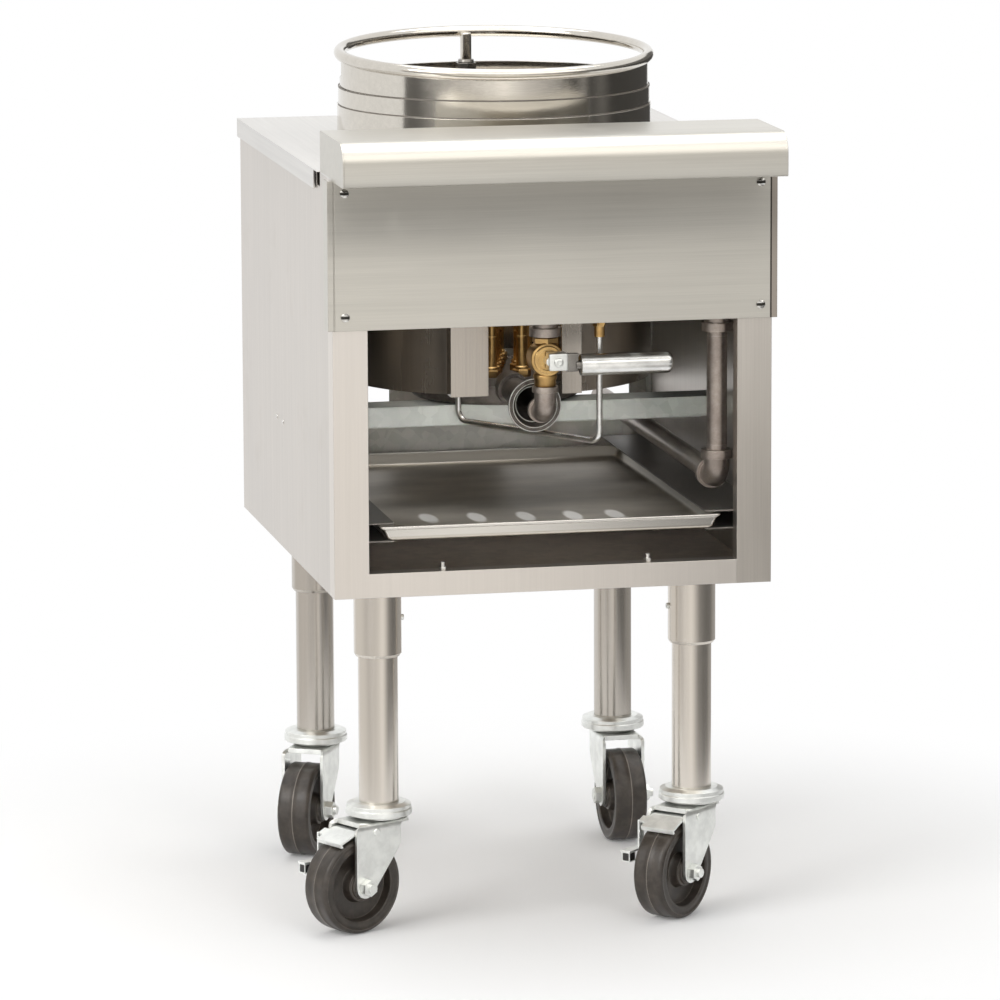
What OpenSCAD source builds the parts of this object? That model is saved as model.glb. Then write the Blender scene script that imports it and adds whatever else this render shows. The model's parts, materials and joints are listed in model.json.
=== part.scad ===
// A one-burner gas wok range on casters: a folded sheet cabinet with a raised front ledge, a
// round fire chamber under a tilted wok ring, a jet burner with its gas line, a sliding drip
// tray, and four tubular legs on swivel casters. The two front casters have a brake.
// Millimetres. +Z is up and the open front faces -Y. The origin lies on the floor, midway
// between the four legs.

/* [Cabinet] */
// Width across the side panels
body_w = 457; // [430:1:600]
// Depth from the front posts to the back panel
body_d = 565; // [540:1:680]
// Height from the underside to the top of the deck
body_h = 431; // [422:1:480]
// Thickness of every folded sheet
sheet = 1.5; // [1:0.1:2]
// Width of the two front posts
post_w = 36; // [30:1:40]
// Height of the front rail under the opening
rail_h = 25; // [18:1:30]
// Height of the top of the front opening above the underside
opening_top = 276; // [262:1:300]
// How far the deck stands out past the side and back panels
deck_over = 3; // [2.5:0.1:5]
// Depth of the flange around the deck
deck_flange = 20; // [12:1:30]
// Width of a vent window in the back panel
vent_w = 142; // [90:1:150]
// Height of a vent window
vent_h = 43; // [32:1:50]

/* [Front] */
// Overhang of the ledge in front of the cabinet
ledge_over = 67; // [50:1:90]
// Depth of the ledge over the deck
ledge_back = 64; // [40:1:80]
// Height of the ledge above the deck
ledge_rise = 42; // [30:1:50]
// Radius of the bend along the ledge's front edge
ledge_r = 12; // [6:1:18]
// How far the front panel wraps past each side of the cabinet
panel_wrap = 5; // [4:0.5:8]
// Diameter of the heads of the panel screws
screw_d = 9; // [7:0.5:11]

/* [Fire chamber] */
// Outer radius of the chamber's wall
chamber_r = 166; // [150:1:172]
// Distance from the cabinet's front to the chamber's axis
chamber_y = 298; // [290:1:340]
// Thickness of the chamber's wall
chamber_wall = 2; // [1.5:0.1:3]
// Height of the chamber's lower rim above the underside
skirt_z = 183; // [175:1:195]
// Height of the collar on the deck
collar_h = 40; // [30:1:60]
// Height of the band on the collar
band_h = 19; // [14:1:30]
// Width of the chamber's front cut-out
cutout_w = 78; // [70:1:90]

/* [Wok ring] */
// Radius of the wire ring's centre line
ring_r = 163; // [155:0.5:164]
// Diameter of the ring's wire
wire_d = 12; // [8:0.5:14]
// Height of the wire's centre above the band at the sides
ring_rise = 34; // [28:1:45]
// Tilt of the ring, lower at the front
ring_tilt = 2.5; // [0:0.5:4]
// Height of the low rear part of the ring's wall
ring_low = 8.5; // [4:0.5:12]
// Diameter of the rear post under the ring
ring_post_d = 15; // [10:0.5:17]

/* [Burner] */
// Radius of the burner's cast head
head_r = 90; // [75:1:100]
// Height of the cast head
head_h = 28; // [27:1:34]
// Number of jets in the outer circle
outer_jets = 12; // [6:1:14]
// Diameter of a jet's tube
jet_d = 12; // [8:0.5:14]
// Length of a jet above its hexagon
jet_len = 54; // [30:1:60]
// Outer diameter of the burner's mixing tube
venturi_d = 27; // [22:1:28]
// Radius of the mixing tube's bell mouth
bell_r = 25.5; // [24:0.5:31]

/* [Gas line] */
// Outer diameter of the steel gas pipe
pipe_d = 21.3; // [17:0.1:22]
// Height of the inlet pipe above the underside
inlet_z = 106; // [102:1:112]
// How far the inlet pipe stands out behind the back panel
inlet_out = 30; // [22:1:60]
// Height of the manifold pipe above the underside
manifold_z = 286; // [285:1:300]
// Height of the valve's axis above the underside
valve_z = 235; // [232:1:236]
// Length of the lever's grip
grip_len = 98; // [70:1:120]
// Diameter of the lever's grip
grip_d = 22.5; // [16:0.5:24]
// Diameter of the pilot tube
pilot_d = 6.4; // [5:0.1:8]

/* [Drip tray] */
// Height of the tray's underside above the cabinet's underside
tray_z = 56; // [50:1:60]
// Depth of the tray's pan
tray_h = 15; // [12:1:24]
// Length of the tray
tray_len = 456; // [380:1:470]
// How far each side of the tray leans outwards
tray_lean = 9; // [2:0.5:12]

/* [Legs] */
// Outer diameter of a leg tube
leg_d = 41.3; // [34:0.1:45]
// Length of a leg from the caster to the cabinet
leg_len = 232; // [180:1:300]
// Distance of a leg's axis from the cabinet's side
leg_side = 61.5; // [55:0.5:75]
// Distance of a leg's axis from the cabinet's front and back
leg_end = 94; // [85:1:110]
// Length of the sleeve around the top of a leg
sleeve_len = 78; // [60:1:110]

/* [Casters] */
// Height of a caster from the floor to the leg tube
caster_h = 134; // [132:1:150]
// Diameter of a wheel
wheel_d = 101.6; // [88:0.1:102]
// Width of a wheel's tread
wheel_w = 36; // [30:1:40]
// Distance from the swivel axis to the axle
trail = 36; // [30:1:42]
// Diameter of the axle bolt
axle_d = 10; // [8:0.5:12]
// Diameter of the swivel race
race_d = 69; // [60:1:76]
// Thickness of the fork's plate
fork_t = 3.5; // [2:0.5:4]
// Turn of the front left caster at rest, from straight ahead towards the left
turn_fl = 62; // [-180:0.5:180]
// Turn of the front right caster
turn_fr = 46; // [-180:0.5:180]
// Turn of the rear left caster
turn_rl = 28; // [-180:0.5:180]
// Turn of the rear right caster
turn_rr = -2; // [-180:0.5:180]

/* [Hidden] */
$fn = 64;

steel = [0.78, 0.76, 0.72];
zinc = [0.80, 0.82, 0.80];
galvanized = [0.70, 0.74, 0.70];
iron = [0.22, 0.20, 0.18];
brass = [0.80, 0.60, 0.25];
tread = [0.24, 0.21, 0.18];

eps = 0.05;           // a cut runs this far past a face
fit = 0.05;           // radial running fit of a shaft, pin or pipe in its hole
gap = 0.3;            // gap between pieces that move past each other

front_y = -body_d / 2;
back_y = body_d / 2;
under_z = caster_h + leg_len;
deck_z = under_z + body_h;
side_x = body_w / 2 - sheet;          // inner face of a side panel
deck_x = body_w / 2 + deck_over;
leg_x = body_w / 2 - leg_side;
leg_y = body_d / 2 - leg_end;

pan_z = under_z + 3;                  // the bottom pan rests on 3 mm leg plates
floor_flange = 20;                    // inward flange at the foot of a side panel
post_return = 18;
rear_angle = 28;
vent_top = under_z + 131;
vent_x = 65;                          // from the centre to a window's inner edge
slot_y = front_y + ledge_back + 2;    // relief slot behind the ledge
slot_l = 22;
slot_h = 14;

ledge_y = front_y - ledge_over;
ledge_top = deck_z + ledge_rise;
ledge_foot = deck_z - 2.5;
ledge_hem = 14;
panel_y = front_y - 3;
panel_x = body_w / 2 + panel_wrap;
panel_z = under_z + opening_top;
panel_return = 20;
screw_x = body_w / 2 - 12.5;
screw_low = 14;                       // lower screws above the panel's edge
screw_high = 15;                      // upper screws below the deck

axis_y = front_y + chamber_y;         // axis of chamber, burner and wok ring
rim_z = under_z + skirt_z;
collar_top = deck_z + collar_h;
band_top = collar_top + band_h;
band_r = chamber_r - 1.3;
band_in = chamber_r - 28;
wall_r = min(ring_r, band_r - 0.5);
ring_z = band_top + ring_rise;
foot_r = 7;                           // flare at the foot of the collar
cutout_head = 330;                    // top of the cut-out above the underside
cutout_top = cutout_head - skirt_z;   // height of the cut-out
plate_w = 40;
plate_fold = 30;
plate_right_w = 21;
cutout_x = -1.8;                      // the cut-out's middle lies a little to the left

rail_d = 41;                          // depth and height of a burner cross rail
rail_z = 21;
head_z = rim_z - 23;                  // underside of the cast head, top of the front rail
rail_front_y = axis_y - 52.5;
rail_rear_y = axis_y + 24;
rail_rear_top = head_z - 13.5;
jet_z = head_z + head_h;
jet_hex = 9;
inner_jets = 6;
jet_inner_r = head_r * 0.34;
jet_outer_r = head_r * 0.7;
gas_y = front_y + 42;                 // plane of the valve, riser and manifold
gas_x = side_x - 46;                  // riser and inlet pipe
in_z = under_z + inlet_z;
man_z = under_z + manifold_z;
val_z = under_z + valve_z;
burner_z = under_z + 178;             // axis of the mixing tube
bell_y = front_y + 92;
elbow_len = 28;                       // from an elbow's centre to its face
socket = 11;                          // how far a pipe screws into a fitting
band_w = 9;
pilot_x = 57;                         // pilot tube, right of the middle in front, left at the head
lever_y = front_y + 14;

runner_in = side_x - 64;              // inner edge of a runner's flanges
runner_y = front_y + post_return;
runner_len = body_d - post_return - rear_angle - sheet - 25;
tray_x = side_x - 47;
tray_y = front_y + 12;
tray_rim = under_z + tray_z;

tube_in = leg_d / 2 - 1.6;
sleeve_in = leg_d / 2 + 0.15;
sleeve_out = sleeve_in + 4;
plate_half = 37;
fork_in = wheel_w / 2 + 2.2;           // inner face of a fork leg from the wheel's middle
fork_out = fork_in + fork_t;
axle_z = wheel_d / 2;
crown_z = caster_h - 16.5;            // top of the fork's crown
crown_t = 5;
crown_r = race_d / 2 - 4.5;
king_r = 8;
hub_r = 16;
pin_s = 22;                           // brake pin from the swivel axis
pin_z = crown_z - crown_t - 5.2;
pin_r = 2.5;
cut_reach = 250;                      // half the width of a cut that runs past the whole part

module block(lo, hi) { translate(lo) cube(hi - lo); }

// mirrors a piece drawn on the right to the left
module on_side(side) { if (side > 0) children(); else mirror([1, 0, 0]) children(); }

module rounded_slot(w, h, r, t) {
    rotate([90, 0, 0]) translate([0, 0, -t / 2]) linear_extrude(t) union() {
        translate([-w / 2 + r, -h / 2]) square([w - 2 * r, h]);
        translate([-w / 2, -h / 2 + r]) square([w, h - 2 * r]);
        for (x = [-1, 1], z = [-1, 1]) translate([x * (w / 2 - r), z * (h / 2 - r)]) circle(r);
    }
}

// four places, one for each leg, in the order front left, front right, rear left, rear right
LEGS = [[-1, -1], [1, -1], [-1, 1], [1, 1]];
module at_leg(i) { translate([LEGS[i][0] * leg_x, LEGS[i][1] * leg_y, 0]) children(); }

// Cabinet

module side_panel(side) {
    color(steel) on_side(side) difference() {
        union() {
            block([side_x, front_y + sheet, under_z], [body_w / 2, back_y, deck_z - sheet]);
            block([body_w / 2 - floor_flange, front_y + sheet, pan_z - sheet],
                  [side_x + eps, back_y - sheet, pan_z]);
        }
        block([side_x - 1, slot_y, deck_z - sheet - slot_h], [body_w, slot_y + slot_l, deck_z]);
    }
}
module left_side_panel() { side_panel(-1); }
module right_side_panel() { side_panel(1); }

module back_panel() {
    color(galvanized) difference() {
        block([-side_x, back_y - sheet, under_z], [side_x, back_y, deck_z - sheet]);
        for (s = [-1, 1])
            translate([s * (vent_x + vent_w / 2), back_y - sheet / 2, vent_top - vent_h / 2])
                rounded_slot(vent_w, vent_h, 6, 3 * sheet);
    }
}

module top_deck() {
    color(steel) difference() {
        union() {
            block([-body_w / 2, front_y, deck_z - sheet], [body_w / 2, back_y, deck_z]);
            block([-deck_x, slot_y, deck_z - sheet], [deck_x, back_y + deck_over, deck_z]);
            for (s = [-1, 1]) on_side(s)
                block([deck_x - sheet, slot_y + slot_l, deck_z - deck_flange],
                      [deck_x, back_y + deck_over, deck_z - eps]);
            block([-deck_x, back_y + deck_over - sheet, deck_z - deck_flange],
                  [deck_x, back_y + deck_over, deck_z - eps]);
        }
        translate([0, axis_y, deck_z - 5]) cylinder(r = chamber_r - chamber_wall, h = 10);
        for (s = [-1, 1]) on_side(s)
            block([side_x, slot_y, deck_z - sheet - slot_h],
                  [deck_x + 1, slot_y + slot_l, deck_z - 0.8]);
    }
}

// section of the ledge: nose with a round bend, flat top, upright at the rear, hems at both feet
module ledge_section(inset) {
    r = ledge_r - inset;
    difference() {
        union() {
            translate([inset, inset]) square([ledge_over + ledge_back - 2 * inset,
                                             ledge_rise + 2.5 - 2 * inset - r]);
            translate([inset + r, inset]) square([ledge_over + ledge_back - 2 * inset - r,
                                                 ledge_rise + 2.5 - 2 * inset]);
            translate([ledge_r, ledge_rise + 2.5 - ledge_r]) circle(r);
        }
        translate([ledge_over - inset, -1])
            square([ledge_back + 10, 1 + 2.5 + inset]);
    }
}

module front_ledge() {
    color(steel) translate([0, ledge_y, ledge_foot]) rotate([90, 0, 90]) {
        difference() {
            translate([0, 0, -body_w / 2]) linear_extrude(body_w) ledge_section(0);
            translate([0, 0, -body_w / 2 + sheet]) linear_extrude(body_w - 2 * sheet)
                union() {
                    ledge_section(sheet);
                    translate([ledge_hem, -1]) square([ledge_over - ledge_hem, 10]);
                    translate([ledge_over - 1, 1])
                        square([ledge_back + 1 - ledge_hem, 10]);
                }
        }
    }
}

module front_panel() {
    color(steel) difference() {
        union() {
            block([-panel_x, panel_y, panel_z], [panel_x, panel_y + sheet, ledge_foot]);
            for (s = [-1, 1]) on_side(s)
                block([panel_x - sheet, panel_y, panel_z],
                      [panel_x, front_y + panel_return, ledge_foot]);
            block([-body_w / 2 + 1, panel_y + eps, panel_z],
                  [body_w / 2 - 1, front_y, panel_z + sheet]);
            for (s = [-1, 1]) on_side(s)
                block([screw_x - 7, panel_y + eps, panel_z + sheet - eps],
                      [screw_x + 7, front_y, ledge_foot]);
        }
        for (s = [-1, 1]) on_side(s)
            block([body_w / 2 - 2.2, panel_y - 1, panel_z - 1],
                  [body_w / 2 - 1, panel_y + 0.8, ledge_foot + 1]);
    }
}

// a front post: a face strip with a return at the opening
module post(side) {
    on_side(side) {
        block([body_w / 2 - post_w, front_y, under_z], [body_w / 2, front_y + sheet, deck_z - sheet]);
        block([body_w / 2 - post_w, front_y + sheet - eps, under_z + rail_h - sheet],
              [body_w / 2 - post_w + sheet, front_y + post_return, deck_z - sheet]);
    }
}

module front_frame() {
    color(steel) {
        post(-1);
        block([-body_w / 2 + post_w - eps, front_y, under_z],
              [body_w / 2 - post_w, front_y + sheet, under_z + rail_h]);
        block([-body_w / 2 + post_w, front_y + sheet - eps, under_z + rail_h - sheet],
              [body_w / 2 - post_w, front_y + post_return, under_z + rail_h]);
    }
}

module right_post() { color(steel) post(1); }

module rear_posts() {
    color(galvanized) for (s = [-1, 1]) on_side(s) difference() {
        block([side_x - rear_angle, back_y - sheet - rear_angle, pan_z + sheet],
              [side_x, back_y - sheet, deck_z - sheet]);
        block([side_x - rear_angle - 1, back_y - 2 * sheet - rear_angle, pan_z],
              [side_x - sheet, back_y - 2 * sheet, deck_z]);
        block([vent_x - 1, back_y - 3 * sheet, vent_top - vent_h - 1],
              [vent_x + vent_w + 1, back_y, vent_top + 1]);
    }
}

module bottom_pan() {
    color(galvanized) block([-side_x, front_y + sheet, pan_z], [side_x, back_y - sheet, pan_z + sheet]);
}

// two inverted channels from side to side: the front one carries the cast head's rim, the
// rear one is lower and carries the head's two feet
module cross_rails() {
    color(galvanized) for (p = [[rail_front_y, head_z], [rail_rear_y, rail_rear_top]])
        translate([0, p[0], p[1] - rail_z]) difference() {
            block([-side_x, -rail_d / 2, 0], [side_x, rail_d / 2, rail_z]);
            block([-side_x - 1, -rail_d / 2 + sheet, -1],
                  [side_x + 1, rail_d / 2 - sheet, rail_z - sheet]);
        }
}

module tray_runners() {
    top = tray_rim + tray_h + 1.5 + sheet;
    low = tray_rim - gap - sheet;
    color(galvanized) for (s = [-1, 1]) on_side(s) difference() {
        block([runner_in, runner_y, low], [side_x, runner_y + runner_len, top]);
        block([runner_in - 1, runner_y - 1, low + sheet],
              [side_x - sheet, runner_y + runner_len + 1, top - sheet]);
    }
}

module pan_head() {
    rotate([90, 0, 0]) intersection() {
        cylinder(d = screw_d, h = 3);
        translate([0, 0, 3 - screw_d]) sphere(screw_d);
    }
}

module body_screws() {
    color(zinc) {
        for (s = [-1, 1], z = [panel_z + screw_low, deck_z - screw_high])
            translate([s * screw_x, panel_y, z]) difference() {
                pan_head();
                block([-screw_d, -3.5, -0.6], [screw_d, -2, 0.6]);
            }
        // stud ends that stand on the front rail
        for (x = [-body_w / 4, body_w * 0.22])
            translate([x, front_y + 10, under_z + rail_h]) {
                cylinder(d = 5, h = 8);
                cylinder(d = 8.4, h = 3.2, $fn = 6);
            }
        // rivets that hold the rear cross rail
        for (s = [-1, 1], y = [-19, 19]) on_side(s)
            translate([body_w / 2, rail_rear_y + y, rail_rear_top - rail_z / 2]) rotate([0, 90, 0])
                cylinder(r1 = 3, r2 = 1.8, h = 1.2);
    }
}

// Fire chamber and wok ring

module chamber_shell() {
    color(steel) translate([0, axis_y, rim_z]) difference() {
        cylinder(r = chamber_r, h = deck_z - sheet - rim_z, $fn = 128);
        translate([0, 0, -1])
            cylinder(r = chamber_r - chamber_wall, h = body_h, $fn = 128);
        block([cutout_x - cutout_w / 2, -chamber_r - 1, -1], [cutout_x + cutout_w / 2, 0, cutout_top]);
    }
}

// folded shields that stand on both sides of the cut-out, seated on the round wall
module chamber_plates() {
    plate_y = -chamber_r;
    color(steel) translate([0, axis_y, rim_z]) difference() {
        for (p = [[-1, plate_w], [1, plate_right_w]])
            translate([cutout_x, 0, 0]) on_side(p[0]) difference() {
            block([cutout_w / 2, plate_y, 0],
                  [cutout_w / 2 + p[1], plate_y + plate_fold, cutout_top]);
            block([cutout_w / 2 + sheet, plate_y + sheet, -1],
                  [cutout_w / 2 + p[1] - sheet, plate_y + plate_fold + 1, cutout_top + 1]);
        }
        translate([0, 0, -1]) cylinder(r = chamber_r + fit, h = cutout_top + 2, $fn = 128);
    }
}

module chamber_collar() {
    color(steel) translate([0, axis_y, deck_z]) rotate_extrude($fn = 128) union() {
        translate([chamber_r - chamber_wall, 0]) square([chamber_wall, collar_h]);
        difference() {
            translate([chamber_r - 0.1, 0]) square([foot_r + 0.1, foot_r]);
            translate([chamber_r + foot_r, foot_r]) circle(foot_r - 0.8);
        }
    }
}

module chamber_band() {
    color(steel) translate([0, axis_y, collar_top]) rotate_extrude($fn = 128) union() {
        translate([band_r - chamber_wall, 0]) square([chamber_wall, band_h]);
        translate([band_in, band_h - 2]) square([band_r - band_in - eps, 2]);
    }
}

// the tilted frame of the wire ring
module ring_frame() { translate([0, axis_y, ring_z]) rotate([ring_tilt, 0, 0]) children(); }

// wall of the ring: low behind, and up to the wire around the front
module ring_wall() {
    color(steel) difference() {
        translate([0, axis_y, band_top])
            cylinder(r = wall_r, h = ring_rise + 10, $fn = 128);
        translate([0, axis_y, band_top - 1])
            cylinder(r = wall_r - sheet, h = ring_rise + 20, $fn = 128);
        ring_frame() translate([0, 0, -wire_d / 2 - 0.2])
            block([-cut_reach, -cut_reach, 0], [cut_reach, cut_reach, 2 * ring_rise]);
        block([-cut_reach, axis_y + 6, band_top + ring_low],
              [cut_reach, axis_y + cut_reach, band_top + 2 * ring_rise]);
    }
}

module ring_wire() {
    color(steel) ring_frame() rotate_extrude($fn = 128)
        translate([ring_r, 0]) circle(d = wire_d, $fn = 24);
}

post_at = band_r - chamber_wall - 13;  // radius of the rear post
post_top = ring_z + post_at * sin(ring_tilt) - wire_d / 2 - 0.3;
module ring_post() {
    color(zinc) translate([0, axis_y + post_at, band_top])
        cylinder(d = ring_post_d, h = post_top - band_top);
}
module ring_post_nut() {
    color(zinc) translate([0, axis_y + post_at, band_top]) difference() {
        rotate(30) cylinder(d = 23.2, h = 8.5, $fn = 6);
        translate([0, 0, -1]) cylinder(d = ring_post_d + 2 * fit, h = 11);
    }
}

// Gas line

// a pipe along a direction: 0 for X, 1 for Y and 2 for Z
module pipe(at, axis, len, d = pipe_d) {
    translate(at) rotate(axis == 0 ? [0, 90, 0] : axis == 1 ? [-90, 0, 0] : [0, 0, 0])
        difference() {
            cylinder(d = d, h = len);
            translate([0, 0, -1]) cylinder(d = pipe_d - 5.6, h = len + 2);
        }
}

// a banded elbow with its centre at the origin and its faces at +X and +Z
module elbow(len = elbow_len, d = pipe_d) {
    bend = 15;
    body = d + 5.5;
    difference() {
        union() {
            translate([bend, 0, 0]) rotate([0, 90, 0]) cylinder(d = body, h = len - bend);
            translate([0, 0, bend]) cylinder(d = body, h = len - bend);
            translate([bend, 0, bend]) rotate([90, 0, 0]) rotate([0, 0, 180])
                rotate_extrude(angle = 90) translate([bend, 0]) circle(d = body);
            translate([len - band_w, 0, 0]) rotate([0, 90, 0]) cylinder(d = body + 6, h = band_w);
            translate([0, 0, len - band_w]) cylinder(d = body + 6, h = band_w);
        }
        translate([len - socket, 0, 0]) rotate([0, 90, 0]) cylinder(d = d + 2 * fit, h = socket + 1);
        translate([0, 0, len - socket]) cylinder(d = d + 2 * fit, h = socket + 1);
        translate([bend, 0, 0]) rotate([0, 90, 0]) cylinder(d = d - 5.6, h = len);
        translate([0, 0, bend]) cylinder(d = d - 5.6, h = len);
    }
}

in_end = back_y + inlet_out;
reach = elbow_len - socket + 0.1;      // where a pipe starts, from an elbow's centre
thread_len = 20;
module gas_inlet_pipe() {
    color(iron) {
        pipe([gas_x, gas_y + reach, in_z], 1, in_end - gas_y - reach - thread_len);
        pipe([gas_x, in_end - thread_len - eps, in_z], 1, thread_len + eps, pipe_d - 0.6);
    }
}
module lower_elbow() {
    color(iron) translate([gas_x, gas_y, in_z]) rotate([0, 0, 90]) elbow();
}
module riser_pipe() {
    color(iron) pipe([gas_x, gas_y, in_z + reach], 2, man_z - in_z - 2 * reach);
}
module upper_elbow() {
    color(iron) translate([gas_x, gas_y, man_z]) rotate([0, 90, 180]) elbow();
}
module manifold_pipe() {
    color(iron) difference() {
        pipe([reach, gas_y, man_z], 0, gas_x - 2 * reach);
        translate([pilot_x, gas_y, man_z - pipe_d]) cylinder(d = 8 + 2 * fit, h = pipe_d);
    }
}
// straps that hang the manifold from the front panel
module pipe_hangers() {
    color(zinc) for (x = [gas_x - 86, gas_x - 46]) translate([x, 0, man_z]) difference() {
        union() {
            translate([-6, gas_y, 0]) rotate([0, 90, 0]) cylinder(d = pipe_d + 5, h = 12);
            block([-6, panel_y + sheet, -1.5], [6, gas_y, 1.5]);
            block([-9, panel_y + sheet, -8], [9, panel_y + sheet + 2.5, 16]);
        }
        translate([-7, gas_y, 0]) rotate([0, 90, 0]) cylinder(d = pipe_d + 2 * fit, h = 14);
    }
}
module valve_elbow() {
    color(iron) translate([0, gas_y, man_z]) mirror([0, 0, 1]) elbow();
}

neck_d = pipe_d;
valve_top = man_z - reach;
valve_low = val_z - 29;
face_y = front_y + 28;
module gas_valve() {
    color(brass) difference() {
        union() {
            translate([0, face_y, val_z]) rotate([-90, 0, 0]) cylinder(r = 17.5, h = 26);
            translate([0, face_y - 2, val_z]) rotate([-90, 0, 0]) cylinder(r1 = 15, r2 = 17, h = 2.05);
            translate([0, gas_y, valve_low]) cylinder(d = 21.5, h = val_z + 19 - valve_low);
            translate([0, gas_y, val_z + 15.5]) rotate(30) cylinder(d = 27.5, h = 6.5, $fn = 6);
            translate([0, gas_y, val_z + 12]) cylinder(d = neck_d, h = valve_top - val_z - 12);
            translate([0, gas_y, valve_low + 2]) cylinder(r1 = 11, r2 = 12.5, h = 10);
        }
        translate([0, gas_y, valve_low - 1]) cylinder(d = 12, h = 22);
        translate([0, gas_y, val_z + 16]) cylinder(d = 12, h = 60);
        translate([0, face_y - 3, val_z]) rotate([-90, 0, 0]) cylinder(r = 5 + fit, h = 14);
    }
}

// the lever turns on the valve's stem; its hub carries the stem and a clamp screw
module valve_hub() {
    color(zinc) translate([0, lever_y, val_z]) {
        rotate([-90, 0, 0]) cylinder(r = 5, h = face_y + 10 - lever_y);
        block([-3, -6, -9], [17, face_y - 2 - gap - lever_y, 9]);
        translate([7, 0, 0]) rotate([90, 0, 0]) cylinder(r = 4.2, h = 9, $fn = 24);
        block([17 - eps, -3, -10.5], [28, 3, 8.5]);
        translate([26, 0, -4]) rotate([0, 90, 0]) cylinder(d = 10, h = 4.3);
    }
}
grip_x = 30.5;
module lever_grip() {
    color(zinc) translate([grip_x, lever_y, val_z - 4]) rotate([0, 90, 0]) {
        cylinder(d = grip_d, h = grip_len - grip_d / 2);
        translate([0, 0, grip_len - grip_d / 2]) sphere(d = grip_d);
    }
}

burner_bend = 13;
module burner_elbow() {
    d = 22.5;
    top = valve_low - burner_z - 0.1;
    color(iron) translate([0, gas_y, burner_z]) difference() {
        union() {
            translate([0, 0, burner_bend]) cylinder(d = d, h = top - burner_bend);
            translate([0, 0, top - 6]) cylinder(d = d + 4.5, h = 6);
            translate([0, burner_bend, burner_bend]) rotate([0, 90, 0]) rotate([0, 0, 270])
                rotate_extrude(angle = 90) translate([burner_bend, 0]) circle(d = d);
            translate([0, burner_bend, 0]) rotate([-90, 0, 0]) cylinder(d = d, h = 12);
            translate([0, burner_bend + 6, 0]) rotate([-90, 0, 0]) cylinder(d = d + 4.5, h = 6);
        }
        translate([0, burner_bend, 0]) rotate([-90, 0, 0]) cylinder(d = 10 + 2 * fit, h = 30);
        translate([0, 0, burner_bend]) cylinder(d = 12, h = 60);
    }
}

module burner_orifice() {
    start = gas_y + burner_bend + 1;
    color(brass) translate([0, start, burner_z]) rotate([-90, 0, 0]) difference() {
        union() {
            cylinder(d = 10, h = 26);
            translate([0, 0, 11.2]) cylinder(d = 17, h = 6, $fn = 6);
            translate([0, 0, 17]) cylinder(d1 = 12, d2 = 6, h = 16);
        }
        translate([0, 0, -1]) cylinder(d = 5, h = 26);
        translate([0, 0, 20]) cylinder(d = 2.4, h = 20);
    }
}

boss_y = axis_y - head_r - 6;
bell_len = 22;
taper_len = 52;                        // the mixing tube narrows to its full length here
module burner_venturi() {
    start = bell_y;
    len = boss_y - start;
    r = venturi_d / 2;
    color(iron) translate([0, start, burner_z]) rotate([-90, 0, 0]) rotate_extrude() difference() {
        union() {
            square([r, len]);
            polygon([[0, 5], [bell_r - 1.5, 5], [r + 6, bell_len], [r, taper_len], [0, taper_len]]);
            square([bell_r, 5.1]);
            translate([bell_r, 2.5]) circle(2.5, $fn = 24);
            translate([r, len - 6]) square([4, 6]);
        }
        polygon([[-1, -1], [bell_r - 2.5, -1], [bell_r - 5, 5], [r + 2, bell_len],
                 [r - 3.5, taper_len - 2], [r - 3.5, len + 1], [-1, len + 1]]);
    }
}

module burner_head() {
    color(iron) translate([0, axis_y, 0]) difference() {
        union() {
            translate([0, 0, head_z]) rotate_extrude($fn = 96) union() {
                square([head_r - 5, head_h - 2]);
                translate([0, 5]) square([head_r, head_h - 13]);
                translate([head_r - 5, 5]) circle(5, $fn = 32);
                translate([head_r - 12, head_h - 9]) square([7, 9]);
                translate([head_r - 12, head_h - 9]) circle(7, $fn = 32);
            }
            translate([0, -head_r - 6 + fit, burner_z]) rotate([-90, 0, 0])
                cylinder(d = venturi_d + 8, h = 19.5);
            for (s = [-1, 1]) translate([s * head_r / 2, rail_rear_y - axis_y, rail_rear_top])
                cylinder(r1 = 11, r2 = 13, h = head_z - rail_rear_top + eps);
        }
        // the bore of the boss and the jets' holes
        translate([0, -head_r - 7, burner_z]) rotate([-90, 0, 0])
            cylinder(d = venturi_d - 7, h = 17);
        block([-head_r, -head_r - 7, head_z - 10], [head_r, -head_r / 2, head_z]);
        for (p = jet_places()) translate([p[0], p[1], jet_z - 2 - 5]) cylinder(d = 6, h = 20);
    }
}

function jet_places() = concat([[0, 0]],
    [for (i = [0:inner_jets - 1]) jet_inner_r * [cos(60 * i + 15), sin(60 * i + 15)]],
    [for (i = [0:outer_jets - 1])
        jet_outer_r * [cos(360 / outer_jets * (i + 0.5)), sin(360 / outer_jets * (i + 0.5))]]);

module jet() {
    difference() {
        union() {
            cylinder(d = jet_d + 8, h = jet_hex, $fn = 6);
            cylinder(d = jet_d, h = jet_hex + jet_len - 4);
            translate([0, 0, jet_hex + jet_len - 4]) cylinder(d1 = jet_d, d2 = jet_d - 4, h = 4);
        }
        translate([0, 0, -1]) cylinder(d = jet_d - 6, h = jet_hex + jet_len - 4);
        cylinder(d = 2, h = jet_hex + jet_len + 1);
    }
}
module burner_jets() {
    color(brass) translate([0, axis_y, jet_z - 2])
        for (p = jet_places()) translate([p[0], p[1], 0]) jet();
}

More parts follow.
